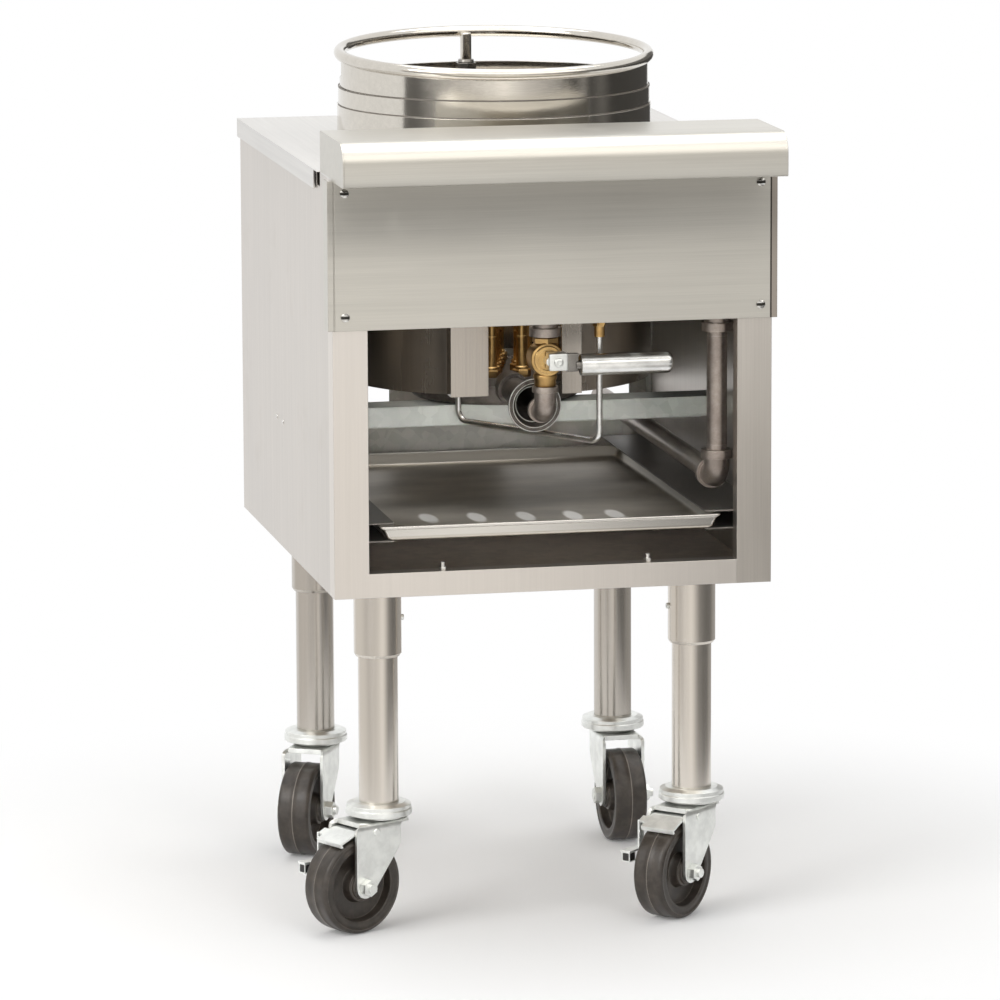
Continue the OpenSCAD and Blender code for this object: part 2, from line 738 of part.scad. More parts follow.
module pilot_valve() {
    color(brass) translate([pilot_x, gas_y, man_z]) difference() {
        union() {
            translate([0, 0, -pipe_d / 2 - 8]) cylinder(d = 8, h = 14);
            translate([0, 0, -pipe_d / 2 - 9]) cylinder(d = 14, h = 8.7, $fn = 6);
            translate([0, 0, -pipe_d / 2 - 20]) cylinder(d = 11, h = 12);
            translate([0, -12, -pipe_d / 2 - 5]) rotate([-90, 0, 0]) cylinder(d = 6, h = 8);
        }
        translate([0, 0, -pipe_d / 2 - 21]) cylinder(d = pilot_d + 2 * fit, h = 12);
        translate([0, 0, -pipe_d / 2 - 12]) cylinder(d = 3, h = 40);
    }
}

// the pilot tube: down behind the lever, back under the mixing tube, and up at the head's left
tube_top = man_z - pipe_d / 2 - 10.5;
tube_low = under_z + 146;
tube_bend = 12;
pilot_reach = head_r + 10 + pilot_d / 2;
pilot_end = [-pilot_x, axis_y - sqrt(pow(pilot_reach, 2) - pow(pilot_x, 2))];
run = [pilot_end[0] - pilot_x, pilot_end[1] - gas_y];
run_len = norm(run);
run_turn = atan2(run[1], run[0]);
foot_z = head_z + head_h - 8;          // shoulder of the cast head, where the pilot burner stands
tip_z = foot_z + 6;
module pilot_tube() {
    color(zinc) {
        translate([pilot_x, gas_y, tube_low + tube_bend - eps])
            cylinder(d = pilot_d, h = tube_top - tube_low - tube_bend + eps, $fn = 24);
        translate([pilot_x, gas_y, 0]) rotate([0, 0, run_turn]) {
            translate([tube_bend, 0, tube_low + tube_bend]) rotate([90, 0, 0]) rotate([0, 0, 180])
                rotate_extrude(angle = 90) translate([tube_bend, 0]) circle(d = pilot_d, $fn = 24);
            translate([tube_bend - eps, 0, tube_low]) rotate([0, 90, 0])
                cylinder(d = pilot_d, h = run_len - 2 * tube_bend + 2 * eps, $fn = 24);
            translate([run_len - tube_bend, 0, tube_low + tube_bend]) rotate([90, 0, 0])
                rotate([0, 0, 270]) rotate_extrude(angle = 90) translate([tube_bend, 0])
                    circle(d = pilot_d, $fn = 24);
        }
        translate([pilot_end[0], pilot_end[1], tube_low + tube_bend - eps])
            cylinder(d = pilot_d, h = tip_z - tube_low - tube_bend + eps, $fn = 24);
    }
}

pilot_foot = 15 + pilot_d / 2 - gap;    // the foot ends on the shoulder of the cast head
module pilot_burner() {
    color(brass) translate([pilot_end[0], pilot_end[1], foot_z])
        rotate([0, 0, atan2(pilot_end[0], axis_y - pilot_end[1])]) difference() {
        union() {
            cylinder(d = 12, h = 9, $fn = 6);
            translate([0, 0, 9]) cylinder(d = 9, h = 14);
            translate([0, 0, 23]) cylinder(d1 = 9, d2 = 5, h = 5);
            block([-4, 0, 0], [4, pilot_foot, 3]);
        }
        translate([0, 0, -1]) cylinder(d = pilot_d + 2 * fit, h = 7.1);
        translate([0, 0, 6]) cylinder(d = 3, h = 40);
    }
}

// Drip tray

// section of the tray: its sides lean outwards, its front and back stand upright
module tray_section(inset, top) {
    polygon([[-tray_x + tray_lean + inset, inset], [tray_x - tray_lean - inset, inset],
             [tray_x - inset * 1.2, top], [-tray_x + inset * 1.2, top]]);
}
module drip_tray() {
    color(steel) translate([0, tray_y + tray_len, tray_rim]) rotate([90, 0, 0]) difference() {
        linear_extrude(tray_len) tray_section(0, tray_h);
        translate([0, 0, sheet]) linear_extrude(tray_len - 2 * sheet) union() {
            tray_section(sheet, tray_h);
            translate([-tray_x + 1.2 * sheet, tray_h - eps]) square([2 * tray_x - 2.4 * sheet, 2]);
        }
    }
}

// Legs

module leg_sleeves() {
    color(steel) for (i = [0:3]) at_leg(i) difference() {
        union() {
            translate([0, 0, under_z - sleeve_len]) rotate_extrude() polygon([
                [0, 0], [sleeve_out - 2, 0], [sleeve_out, 3], [sleeve_out, sleeve_len + eps],
                [0, sleeve_len + eps]]);
            block([-plate_half, -plate_half, under_z], [plate_half, plate_half, pan_z]);
        }
        translate([0, 0, under_z - sleeve_len - 1]) cylinder(r = sleeve_in, h = sleeve_len + 1);
        translate([-LEGS[i][0] * sleeve_in, 0, under_z - sleeve_len / 2])
            rotate([0, -LEGS[i][0] * 90, 0]) cylinder(d = 6 + 2 * fit, h = 20, center = true);
    }
}

module leg_tubes() {
    color(steel) for (i = [0:3]) at_leg(i) translate([0, 0, caster_h]) difference() {
        cylinder(d = leg_d, h = leg_len - 0.3);
        translate([0, 0, -1]) cylinder(r = tube_in, h = leg_len + 2);
    }
}

module leg_set_screws() {
    color(zinc) for (i = [0:3]) at_leg(i)
        translate([-LEGS[i][0] * (leg_d / 2 + 0.1), 0, under_z - sleeve_len / 2])
            rotate([0, -LEGS[i][0] * 90, 0]) difference() {
                cylinder(d = 6, h = 6.5);
                translate([0, 0, 4]) cylinder(d = 3.5, h = 4, $fn = 6);
            }
}

// Casters. Each is drawn with its swivel axis at the origin and its wheel towards -Y.

module race() {
    difference() {
        union() {
            rotate_extrude() polygon([
                [0, caster_h - 6.5], [race_d / 2 - 1, caster_h - 6.5], [race_d / 2 - 1, caster_h - 2.5],
                [race_d / 2 - 7, caster_h], [0, caster_h]]);
            rotate_extrude() polygon([
                [0, caster_h - 13.2], [race_d / 2 - 0.8, caster_h - 13.2], [race_d / 2, caster_h - 12.4],
                [race_d / 2, caster_h - 7.2], [race_d / 2 - 0.8, caster_h - 6.4], [0, caster_h - 6.4]]);
            translate([0, 0, crown_z + gap])
                cylinder(r = crown_r - 4, h = caster_h - 13.1 - crown_z - gap);
            translate([0, 0, crown_z - crown_t - 1]) cylinder(r = king_r, h = 12);
            translate([0, 0, crown_z - crown_t - gap - 2.4])
                cylinder(r1 = king_r + 1, r2 = king_r + 3, h = 2.4);
            translate([0, 0, caster_h - eps]) cylinder(r = tube_in - fit, h = 30);
        }
    }
}
module caster_races() { color(zinc) for (i = [0:3]) at_leg(i) race(); }

// lower tangent point on the axle's boss, seen from the fork's leading corner
lead = [-10, crown_z - 27];
boss = [trail, axle_z];
boss_r = axle_d / 2 + 7;
lead_turn = atan2(boss[1] - lead[1], boss[0] - lead[0]);
lead_lift = asin(boss_r / norm(boss - lead));
tangent = boss + boss_r * [cos(lead_turn - lead_lift - 90), sin(lead_turn - lead_lift - 90)];

module fork_leg() {
    difference() {
        union() {
            linear_extrude(fork_t) polygon([
                [lead[0], crown_z - 0.1], [boss[0] + boss_r, crown_z - 0.1],
                [boss[0] + boss_r, boss[1]], boss, tangent, lead]);
            translate([boss[0], boss[1], 0]) cylinder(r = boss_r, h = fork_t);
        }
        translate([boss[0], boss[1], -1]) cylinder(d = axle_d + 2 * fit, h = fork_t + 2);
    }
}

module fork(braked) {
    difference() {
        union() {
            translate([0, 0, crown_z - crown_t]) cylinder(r = crown_r, h = crown_t);
            block([-fork_out, -boss[0] - boss_r, crown_z - crown_t], [fork_out, -lead[0], crown_z]);
            // the legs: profile in (distance behind the swivel axis, height)
            for (s = [-1, 1]) translate([s < 0 ? -fork_out : fork_in, 0, 0])
                rotate([0, 0, -90]) rotate([90, 0, 0]) mirror([0, 0, 1]) fork_leg();
            if (braked) translate([-fork_out, -pin_s, pin_z]) rotate([0, 90, 0])
                cylinder(r = pin_r, h = 2 * fork_out);
        }
        translate([0, 0, crown_z - crown_t - 1]) cylinder(r = king_r + fit, h = crown_t + 2);
        translate([0, 0, crown_z - crown_t - 20]) cylinder(r = king_r + 3.5, h = 20);
        block([-fork_in, -trail - 40, crown_z - crown_t - 0.1], [fork_in, -trail - 4, crown_z + 1]);
    }
}

module axle() {
    translate([0, -trail, axle_z]) rotate([0, 90, 0]) {
        translate([0, 0, -fork_out - 8]) cylinder(d = axle_d, h = 2 * fork_out + 20);
        translate([0, 0, -fork_out - 7]) cylinder(d = 18, h = 7, $fn = 6);
        translate([0, 0, fork_out]) cylinder(d = 18, h = 8, $fn = 6);
    }
}

// tread with rounded shoulders, a deep dished side and a hub with a raised ring
module wheel() {
    r = wheel_d / 2;
    w = wheel_w / 2;
    rim = r - 10;
    translate([0, -trail, axle_z]) rotate([0, 90, 0]) rotate_extrude($fn = 96) difference() {
        union() {
            translate([axle_d / 2 + fit, -w]) square([r - 5 - axle_d / 2, 2 * w]);
            translate([axle_d / 2 + fit, -w + 5]) square([r - axle_d / 2 - fit, 2 * w - 10]);
            for (s = [-1, 1]) translate([r - 5, s * (w - 5)]) circle(5, $fn = 32);
            translate([axle_d / 2 + fit, -fork_in + gap]) square([hub_r - 6, 2 * (fork_in - gap)]);
        }
        translate([r, 0]) circle(0.9, $fn = 16);
        for (s = [-1, 1]) {
            polygon([[hub_r, s * (w + 5)], [hub_r, s * 6], [rim - 3, s * 5], [rim, s * (w + 5)]]);
            translate([hub_r - 3.5, s * w]) circle(1.6, $fn = 16);
        }
    }
}

// the brake turns on a pin in the fork: a plate under the crown, a shoe that slopes down over the
// tread, and a side arm with a pedal and its pad
shoe_flat = trail - 13;                // from the pin to the shoe's bend
shoe_len = 24.7;
shoe_tilt = 24;
arm_x = fork_out + 4.5;
module brake() {
    w = fork_in - gap;
    color(zinc) translate([0, -pin_s, pin_z]) difference() {
        union() {
            translate([-w, 0, 0]) rotate([0, 90, 0]) cylinder(r = 4.2, h = 2 * w);
            block([0.3 - w, -shoe_flat, 0.5], [w - 0.3, -2, 2.7]);
            translate([0, 0.6 - shoe_flat, 2.6]) rotate([shoe_tilt, 0, 0]) {
                block([-w, -shoe_len, -2.2], [w, 0, 0]);
                block([-w, -shoe_len, -5], [w, -shoe_len + 2, -1]);
                block([0.4 - arm_x, -16, -2.2], [1 - w, -6, 0]);
            }
            translate([-arm_x, -shoe_flat, 0]) {
                block([0, -15, -34], [2.2, -6, -3]);
                block([-9.5, -33, -35], [2.2, -6, -33]);
                block([-8.5, -32, -45], [1, -21, -34.9]);
            }
        }
        translate([-fork_out - 1, 0, 0]) rotate([0, 90, 0])
            cylinder(r = pin_r + fit, h = 2 * fork_out + 2);
    }
}

module placed(i, turn) { at_leg(i) rotate([0, 0, -turn]) children(); }

module front_left_fork() { color(zinc) placed(0, turn_fl) fork(true); }
module front_right_fork() { color(zinc) placed(1, turn_fr) fork(true); }
module rear_left_fork() { color(zinc) placed(2, turn_rl) fork(false); }
module rear_right_fork() { color(zinc) placed(3, turn_rr) fork(false); }
module front_left_axle() { color(zinc) placed(0, turn_fl) axle(); }
module front_right_axle() { color(zinc) placed(1, turn_fr) axle(); }
module rear_left_axle() { color(zinc) placed(2, turn_rl) axle(); }
module rear_right_axle() { color(zinc) placed(3, turn_rr) axle(); }
module front_left_wheel() { color(tread) placed(0, turn_fl) wheel(); }
module front_right_wheel() { color(tread) placed(1, turn_fr) wheel(); }
module rear_left_wheel() { color(tread) placed(2, turn_rl) wheel(); }
module rear_right_wheel() { color(tread) placed(3, turn_rr) wheel(); }
module front_left_brake() { placed(0, turn_fl) brake(); }
module front_right_brake() { placed(1, turn_fr) brake(); }

left_side_panel();
right_side_panel();
back_panel();
top_deck();
front_ledge();
front_panel();
front_frame();
right_post();
rear_posts();
bottom_pan();
cross_rails();
tray_runners();
body_screws();
chamber_shell();
chamber_plates();
chamber_collar();
chamber_band();
ring_wall();
ring_wire();
ring_post();
ring_post_nut();
gas_inlet_pipe();
lower_elbow();
riser_pipe();
upper_elbow();
manifold_pipe();
pipe_hangers();
valve_elbow();
gas_valve();
burner_elbow();
burner_orifice();
burner_venturi();
burner_head();
burner_jets();
pilot_valve();
pilot_tube();
pilot_burner();
leg_sleeves();
leg_tubes();
leg_set_screws();
caster_races();
drip_tray();
valve_hub();
lever_grip();
front_left_fork();
front_right_fork();
rear_left_fork();
rear_right_fork();
front_left_axle();
front_right_axle();
rear_left_axle();
rear_right_axle();
front_left_wheel();
front_right_wheel();
rear_left_wheel();
rear_right_wheel();
front_left_brake();
front_right_brake();
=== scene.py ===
"""Looks of the wok range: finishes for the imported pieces, the pieces that are finer than their
solids, the studio and the camera."""
import json

import bmesh
import bpy
import numpy as np
from mathutils import Matrix, Vector


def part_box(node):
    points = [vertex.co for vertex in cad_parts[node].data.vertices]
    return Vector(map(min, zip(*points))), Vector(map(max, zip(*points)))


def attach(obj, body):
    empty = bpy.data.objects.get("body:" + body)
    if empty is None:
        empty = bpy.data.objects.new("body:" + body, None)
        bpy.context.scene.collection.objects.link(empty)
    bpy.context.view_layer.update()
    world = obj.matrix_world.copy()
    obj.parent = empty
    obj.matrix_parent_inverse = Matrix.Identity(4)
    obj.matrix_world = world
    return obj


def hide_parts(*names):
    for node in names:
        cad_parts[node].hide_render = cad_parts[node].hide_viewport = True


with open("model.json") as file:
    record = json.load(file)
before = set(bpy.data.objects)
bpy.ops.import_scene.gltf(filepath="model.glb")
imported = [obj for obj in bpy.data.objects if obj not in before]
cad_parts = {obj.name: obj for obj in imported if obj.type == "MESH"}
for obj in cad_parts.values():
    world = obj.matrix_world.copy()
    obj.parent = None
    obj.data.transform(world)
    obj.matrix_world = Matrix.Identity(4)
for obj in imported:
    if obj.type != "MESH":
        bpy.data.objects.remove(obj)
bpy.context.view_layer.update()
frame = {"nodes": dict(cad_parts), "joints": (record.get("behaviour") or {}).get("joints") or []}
NODES = frame["nodes"]

WHEELS = ("front_left", "front_right", "rear_left", "rear_right")
BRAKED = WHEELS[:2]

# The places of a Mix node's colour sockets, whose labels aren't unique
MIX_FACTOR, MIX_LOW, MIX_HIGH, MIX_RESULT = 0, 6, 7, 2


# Finishes

class Value:
    """A number, colour, vector or shader on its way through a tree. On numbers, + - and * add nodes."""

    def __init__(self, nodes, socket):
        self.nodes, self.socket = nodes, socket

    def math(self, operation, *values):
        return self.nodes.node("ShaderNodeMath", {"operation": operation}, dict(enumerate(values)))

    def __add__(self, other):
        return self.math("ADD", self, other)

    def __sub__(self, other):
        return self.math("SUBTRACT", self, other)

    def __rsub__(self, other):
        return self.math("SUBTRACT", other, self)

    def __mul__(self, other):
        return self.math("MULTIPLY", self, other)

    __radd__ = __add__

    def most(self, other):
        return self.math("MAXIMUM", self, other)

    def between(self, low, high):
        """0 below low, 1 above high, and a smooth ramp in between."""
        return self.nodes.node("ShaderNodeMapRange", {"interpolation_type": "SMOOTHSTEP"},
                               {"Value": self, "From Min": low, "From Max": high})


class Nodes:
    """The nodes of one material or of the studio's world."""

    def __init__(self, owner):
        owner.use_nodes = True
        self.tree = owner.node_tree

    def add(self, kind, settings=None, inputs=None):
        """Makes a node of this kind, sets it up, then gives its sockets values or links."""
        made = self.tree.nodes.new(kind)
        for label, value in (settings or {}).items():
            setattr(made, label, value)
        for label, value in (inputs or {}).items():
            if isinstance(value, Value):
                self.tree.links.new(value.socket, made.inputs[label])
            else:
                made.inputs[label].default_value = value
        return made

    def node(self, kind, settings=None, inputs=None, out=0):
        return Value(self, self.add(kind, settings, inputs).outputs[out])

    def seen_or_mirrored(self):
        """1 for rays from the camera and for mirror and glass rays, else 0."""
        path = self.add("ShaderNodeLightPath")
        camera, mirror, glass = [Value(self, path.outputs[f"Is {kind} Ray"])
                                 for kind in ("Camera", "Glossy", "Transmission")]
        return camera.most(mirror).most(glass)


class Finish(Nodes):
    """One material: a Principled shader with constants on it, and what the nodes feed into it."""

    def __init__(self, name, **constants):
        self.material = bpy.data.materials.new(name)
        super().__init__(self.material)
        self.shader = next(n for n in self.tree.nodes if n.type == "BSDF_PRINCIPLED")
        for label, value in constants.items():
            self.shader.inputs[label.replace("_", " ")].default_value = value
        self.place = self.node("ShaderNodeTexCoord", out="Object")

    def scaled_place(self, scale, shift=(0, 0, 0)):
        """The piece's own coordinates with this many units a metre, or one number for each axis."""
        scale = (scale,) * 3 if isinstance(scale, float) else scale
        return self.node("ShaderNodeMapping", {},
                         {"Vector": self.place, "Scale": scale, "Location": shift}, "Vector")

    def noise(self, waves, detail, rough=0.55, shift=(0, 0, 0)):
        """Noise with this many waves a metre, or one number for each axis."""
        inputs = {"Vector": self.scaled_place(waves, shift), "Scale": 1.0, "Detail": detail,
                  "Roughness": rough}
        return self.node("ShaderNodeTexNoise", {}, inputs)

    def cells(self, count):
        """A random colour for each cell, with this many cells a metre."""
        return self.node("ShaderNodeTexVoronoi", {"feature": "F1"},
                         {"Vector": self.scaled_place(count), "Scale": 1.0}, "Color")

    def axis(self, name):
        return self.node("ShaderNodeSeparateXYZ", {}, {0: self.place}, name)

    def mix(self, factor, low, high):
        """The low colour where the factor is 0, and the high one where it is 1."""
        low, high = [c if isinstance(c, Value) else (*c, 1) for c in (low, high)]
        return self.node("ShaderNodeMix", {"data_type": "RGBA"},
                         {MIX_FACTOR: factor, MIX_LOW: low, MIX_HIGH: high}, MIX_RESULT)

    def rounded(self, radius):
        """The direction the surface would face if its sharp edges were rounded by this radius."""
        return self.node("ShaderNodeBevel", {"samples": 4}, {"Radius": radius})

    def edge(self, radius):
        """1 along the piece's sharp edges and 0 on its flats."""
        soft = self.rounded(radius)
        plain = self.node("ShaderNodeNewGeometry", out="Normal")
        flat = self.node("ShaderNodeVectorMath", {"operation": "DOT_PRODUCT"}, {0: soft, 1: plain},
                         "Value")
        return (1 - flat).between(0.004, 0.12)

    def crevice_shade(self, reach):
        """1 deep in a joint between pieces and 0 out in the open: where painted shade goes."""
        open_sky = self.node("ShaderNodeAmbientOcclusion", {"samples": 6}, {"Distance": reach}, "AO")
        return (1 - open_sky).between(0.35, 0.95)

    def bump(self, height, depth, strength, round_edge=0.0):
        """Bumps of this depth; a round edge in metres softens the sharp edges below them."""
        inputs = {"Height": height, "Distance": depth, "Strength": strength}
        if round_edge:
            inputs["Normal"] = self.rounded(round_edge)
        return self.node("ShaderNodeBump", {}, inputs)

    def feed(self, **links):
        """Links values to the shader's inputs and gives the finished material."""
        for label, value in links.items():
            self.tree.links.new(value.socket, self.shader.inputs[label.replace("_", " ")])
        return self.material


def lit(tint, share):
    """A tint made lighter or darker, with no channel over 1."""
    return tuple(min(1.0, c * share) for c in tint)


def brushed_steel(name, along, tint, gloss, streaks=1.0, spread=1.0, fold=None, lift=1.3, shaded_wing=None):
    """Sheet brushed along one axis (0 for X, 1 for Y, 2 for Z): fine grain, broader streaks, faint
    clouds and hand marks. The spread deepens the grain. A fold is a Y in metres, in front of which
    the sheet is painted lighter by the lift: painted light. A wing is an X in metres where the groove
    is painted near black as a painted shadow, with the sheet past it painted duller and darker as painted
    shade."""
    f = Finish(name, Metallic=1.0, Specular_IOR_Level=0.5)
    fine, broad = [900.0] * 3, [150.0] * 3
    fine[along], broad[along] = 9.0, 2.2
    grain, streak = f.noise(fine, 2.0), f.noise(broad, 2.0, 0.6, (3.1, 1.7, 0.4))
    cloud = f.noise(3.2, 3.0, 0.6)
    smudge = f.noise(14.0, 4.0, 0.65, (2.0, 5.0, 1.0)).between(0.56, 0.74)
    tone = grain * 0.35 + streak * 0.3 + cloud * 0.35
    colour = f.mix(tone.between(0.25, 0.75), lit(tint, 1 - 0.10 * streaks), lit(tint, 1 + 0.08 * streaks))
    # Painted light: in front of the fold the sheet is painted lighter, standing in for the light on that
    # side.
    if fold is not None:
        near = 1 - (f.axis("Y") - fold).between(0.0, 0.0015)
        colour = f.mix(near * 0.5, colour, lit(tint, lift))
    # Painted shade: past the wing the sheet is painted darker, and the groove where it starts is painted
    # near black as a painted shadow.
    if shaded_wing is not None:
        past = f.axis("X") - shaded_wing
        outer = past.between(0.0013, 0.0017)
        colour = f.mix(outer * 0.8, colour, (0.33, 0.285, 0.245))
        groove = past.between(-0.0004, 0.0) * (1 - outer)
        colour = f.mix(groove * 0.92, colour, (0.05, 0.04, 0.035))
    rough = gloss - 0.06 + grain * 0.09 + cloud * 0.05 + smudge * 0.05
    return f.feed(Base_Color=colour, Roughness=rough,
                  Normal=f.bump(grain * 0.7 + streak * 0.3, 0.00004 * streaks * spread, 0.5, 0.0009))


def tray_with_painted_glints():
    """The tray's sheet: darker and smoother, with five long pale patches on its floor near the front that
    are painted highlights, and its front rim painted lighter than its walls as painted light. A glint's
    sharpness is one over half its width or length, in metres."""
    # Painted highlights: the centres of five pale, matt patches on the tray's floor.
    painted_glints = ((-0.106, -0.155), (-0.056, -0.160), (-0.005, -0.165), (0.044, -0.170), (0.088, -0.174))
    across, deep = 88.0, 27.0
    floor_top, lip_rear = 0.4235, -0.2655
    f = Finish("tray steel", Specular_IOR_Level=0.5)
    cloud = f.noise((6.0, 14.0, 14.0), 4.0, 0.6)
    grain = f.noise((700.0, 9.0, 700.0), 2.0)
    x, y, z = f.axis("X"), f.axis("Y"), f.axis("Z")
    painted_glint = None
    for glint_x, glint_y in painted_glints:
        dx, dy = (x - glint_x) * across, (y - glint_y) * deep
        spot = (1 - (dx * dx + dy * dy).between(0.0, 1.0)) * 0.9
        painted_glint = spot if painted_glint is None else painted_glint + spot
    on_floor = 1 - (z - floor_top).between(0.0, 0.001)
    painted_glint = (painted_glint * on_floor * (0.75 + cloud * 0.5)).between(0.0, 0.7)
    floor = f.mix(cloud.between(0.3, 0.7), (0.50, 0.465, 0.41), (0.66, 0.615, 0.545))
    # Painted light: the front rim is painted lighter than the walls behind it, which are painted darker as
    # painted shade.
    lip = 1 - (y - lip_rear).between(0.0, 0.002)
    wall = f.mix(lip, (0.55, 0.525, 0.475), (0.70, 0.68, 0.64))
    sheet = f.mix((z - (floor_top + 0.001)).between(0.0, 0.003), floor, wall)
    # Where the painted highlights lie, the sheet is pale and less metallic, so they catch the lamps.
    return f.feed(Base_Color=f.mix(painted_glint, sheet, (1.0, 0.98, 0.94)), Metallic=1 - painted_glint * 0.9,
                  Roughness=0.40 - lip * 0.25 + grain * 0.06 + cloud * 0.06,
                  Normal=f.bump(grain * 0.5 + cloud * 0.5, 0.00008, 0.4, 0.0009))


def galvanized(name, dark, light, metallic):
    """Zinc-coated sheet: dull, with soft spangle and darker stains."""
    f = Finish(name, Metallic=metallic)
    spangle = f.cells(95.0)
    shade = f.node("ShaderNodeSeparateColor", {}, {0: spangle}, "Red")
    cloud = f.noise(9.0, 4.0, 0.6)
    tone = shade * 0.25 + cloud * 0.75
    colour = f.mix(tone.between(0.2, 0.8), dark, light)
    grain = f.noise(500.0, 2.0)
    return f.feed(Base_Color=colour, Roughness=0.30 + shade * 0.06 + cloud * 0.12,
                  Normal=f.bump(grain * 0.3 + shade * 0.2, 0.00006, 0.4, 0.0009))


def plated(name, tint, rough, metallic=1.0, slot_shade_heights=()):
    """Bright plating over pressed steel: faint clouds, small pits, lighter edges that are partly wear and
    partly a painted highlight, and painted shade deep in joints between pieces. Slots are the heights in
    metres of dark bands painted across screw heads as slots: painted shade."""
    f = Finish(name, Metallic=metallic)
    cloud = f.noise(60.0, 4.0, 0.6)
    pit = f.noise(900.0, 2.0)
    wear_and_highlight = f.edge(0.0012)
    # The edges are painted lighter: partly wear, partly a painted highlight along them.
    colour = f.mix(wear_and_highlight * 0.6, f.mix(cloud.between(0.3, 0.7), lit(tint, 0.82), tint), lit(tint, 1.1))
    # Painted shade: darker deep in the joints between pieces.
    colour = f.mix(f.crevice_shade(0.007) * 0.75, colour, (0.10, 0.10, 0.09))
    # Painted shade: a dark band across each screw head at these heights.
    for height in slot_shade_heights:
        drop = (f.axis("Z") - height) * 1000
        slot_shade = 1 - (drop * drop).between(1.4, 3.2)
        colour = f.mix(slot_shade * 0.95, colour, (0.03, 0.027, 0.022))
    return f.feed(Base_Color=colour, Roughness=rough + cloud * 0.14 + pit * 0.04,
                  Normal=f.bump(cloud * 0.5 + pit * 0.5, 0.00012, 0.35, 0.0008))


def iron(name, dark, light, rough, grit, depth, metallic):
    """Pipe or casting: dark with a brown cast, gritty, and lighter along its edges, partly rubbed and
    partly a painted highlight. The grit is in grains a metre and its depth in metres."""
    f = Finish(name, Metallic=metallic)
    cloud = f.noise(38.0, 5.0, 0.62)
    sand = f.noise(grit, 3.0, 0.6)
    wear_and_highlight = f.edge(0.0015)
    plain = f.mix((cloud * 0.7 + sand * 0.3).between(0.3, 0.7), dark, light)
    # The edges are painted lighter: partly rubbed wear, partly a painted highlight.
    colour = f.mix(wear_and_highlight * 0.5, plain, lit(light, 1.8))
    return f.feed(Base_Color=colour, Roughness=rough + cloud * 0.2,
                  Normal=f.bump(sand, depth, 0.7, 0.0012))


def brass(name, tint, brown):
    """Turned brass: fine rings of machining, browner where heat and dust have been, edges paler partly from
    wear and partly as a painted highlight, and painted shade deep in joints.
    """
    f = Finish(name, Metallic=1.0)
    cloud = f.noise(55.0, 4.0, 0.6)
    ring = f.noise((40.0, 40.0, 2200.0), 1.0)
    wear_and_highlight = f.edge(0.0012)
    # The edges are painted paler: partly wear, partly a painted highlight.
    colour = f.mix(wear_and_highlight * 0.5, f.mix(cloud.between(0.36, 0.72) * 0.55, tint, brown), (0.86, 0.66, 0.34))
    # Painted shade: darker brown deep in the joints between pieces.
    colour = f.mix(f.crevice_shade(0.006) * 0.6, colour, (0.16, 0.085, 0.035))
    return f.feed(Base_Color=colour, Roughness=0.19 + cloud * 0.22,
                  Normal=f.bump(ring * 0.6 + cloud * 0.4, 0.00006, 0.4))


def composition(name, dark, light, edge_scuff_and_highlight, rough):
    """Moulded wheel or rubber: dusty in cloudy patches, and greyer along its edges, partly from scuffs and
    partly as a painted highlight.
    """
    f = Finish(name, Metallic=0.0, Specular_IOR_Level=0.5)
    cloud = f.noise(70.0, 5.0, 0.65)
    sand = f.noise(1300.0, 2.0)
    # Greyer edges: partly scuffs, partly a painted highlight.
    colour = f.mix(f.edge(0.0012) * 0.6, f.mix(cloud.between(0.35, 0.75), dark, light), edge_scuff_and_highlight)
    return f.feed(Base_Color=colour, Roughness=rough + cloud * 0.2,
                  Normal=f.bump(sand * 0.5 + cloud * 0.5, 0.00010, 0.5, 0.0006))


# The front sheet is a darker copy of the side sheet: painted shade on the range's front. The panel's copy
# also paints the groove and wing at its right end dark: painted shadow and painted shade.
shaded_front_steel = brushed_steel("front steel", 0, (0.575, 0.555, 0.505), 0.33, spread=2.5)
shaded_panel_steel = brushed_steel("panel steel", 0, (0.575, 0.555, 0.505), 0.33, spread=2.5, shaded_wing=0.2262)
post_steel = brushed_steel("post steel", 2, (0.57, 0.535, 0.49), 0.34)
# The side sheet is painted lighter in front of Y -0.2575, a strip along its front edge: painted light. The
# front frame shares this sheet.
side_steel = brushed_steel("side steel", 2, (0.60, 0.565, 0.525), 0.34, fold=-0.2575)
deck_steel = brushed_steel("deck steel", 1, (0.68, 0.665, 0.64), 0.34)
inner_steel = brushed_steel("chamber steel", 2, (0.50, 0.46, 0.41), 0.24)
ring_steel = brushed_steel("ring steel", 0, (0.66, 0.625, 0.565), 0.11)
tray_steel = tray_with_painted_glints()
# The legs' sheet is tinted darker as painted shade on the rear legs, and painted lighter in front of Y 0 as
# painted light on the front legs.
tube_steel = brushed_steel("tube steel", 2, (0.53, 0.495, 0.45), 0.2, 0.35, fold=0.0, lift=1.6)
zinc = plated("zinc plate", (0.90, 0.915, 0.885), 0.24)
brake_zinc = plated("brake plate", (0.90, 0.915, 0.885), 0.24, 0.6)
screw_steel = plated("screw steel", (0.27, 0.255, 0.235), 0.14)
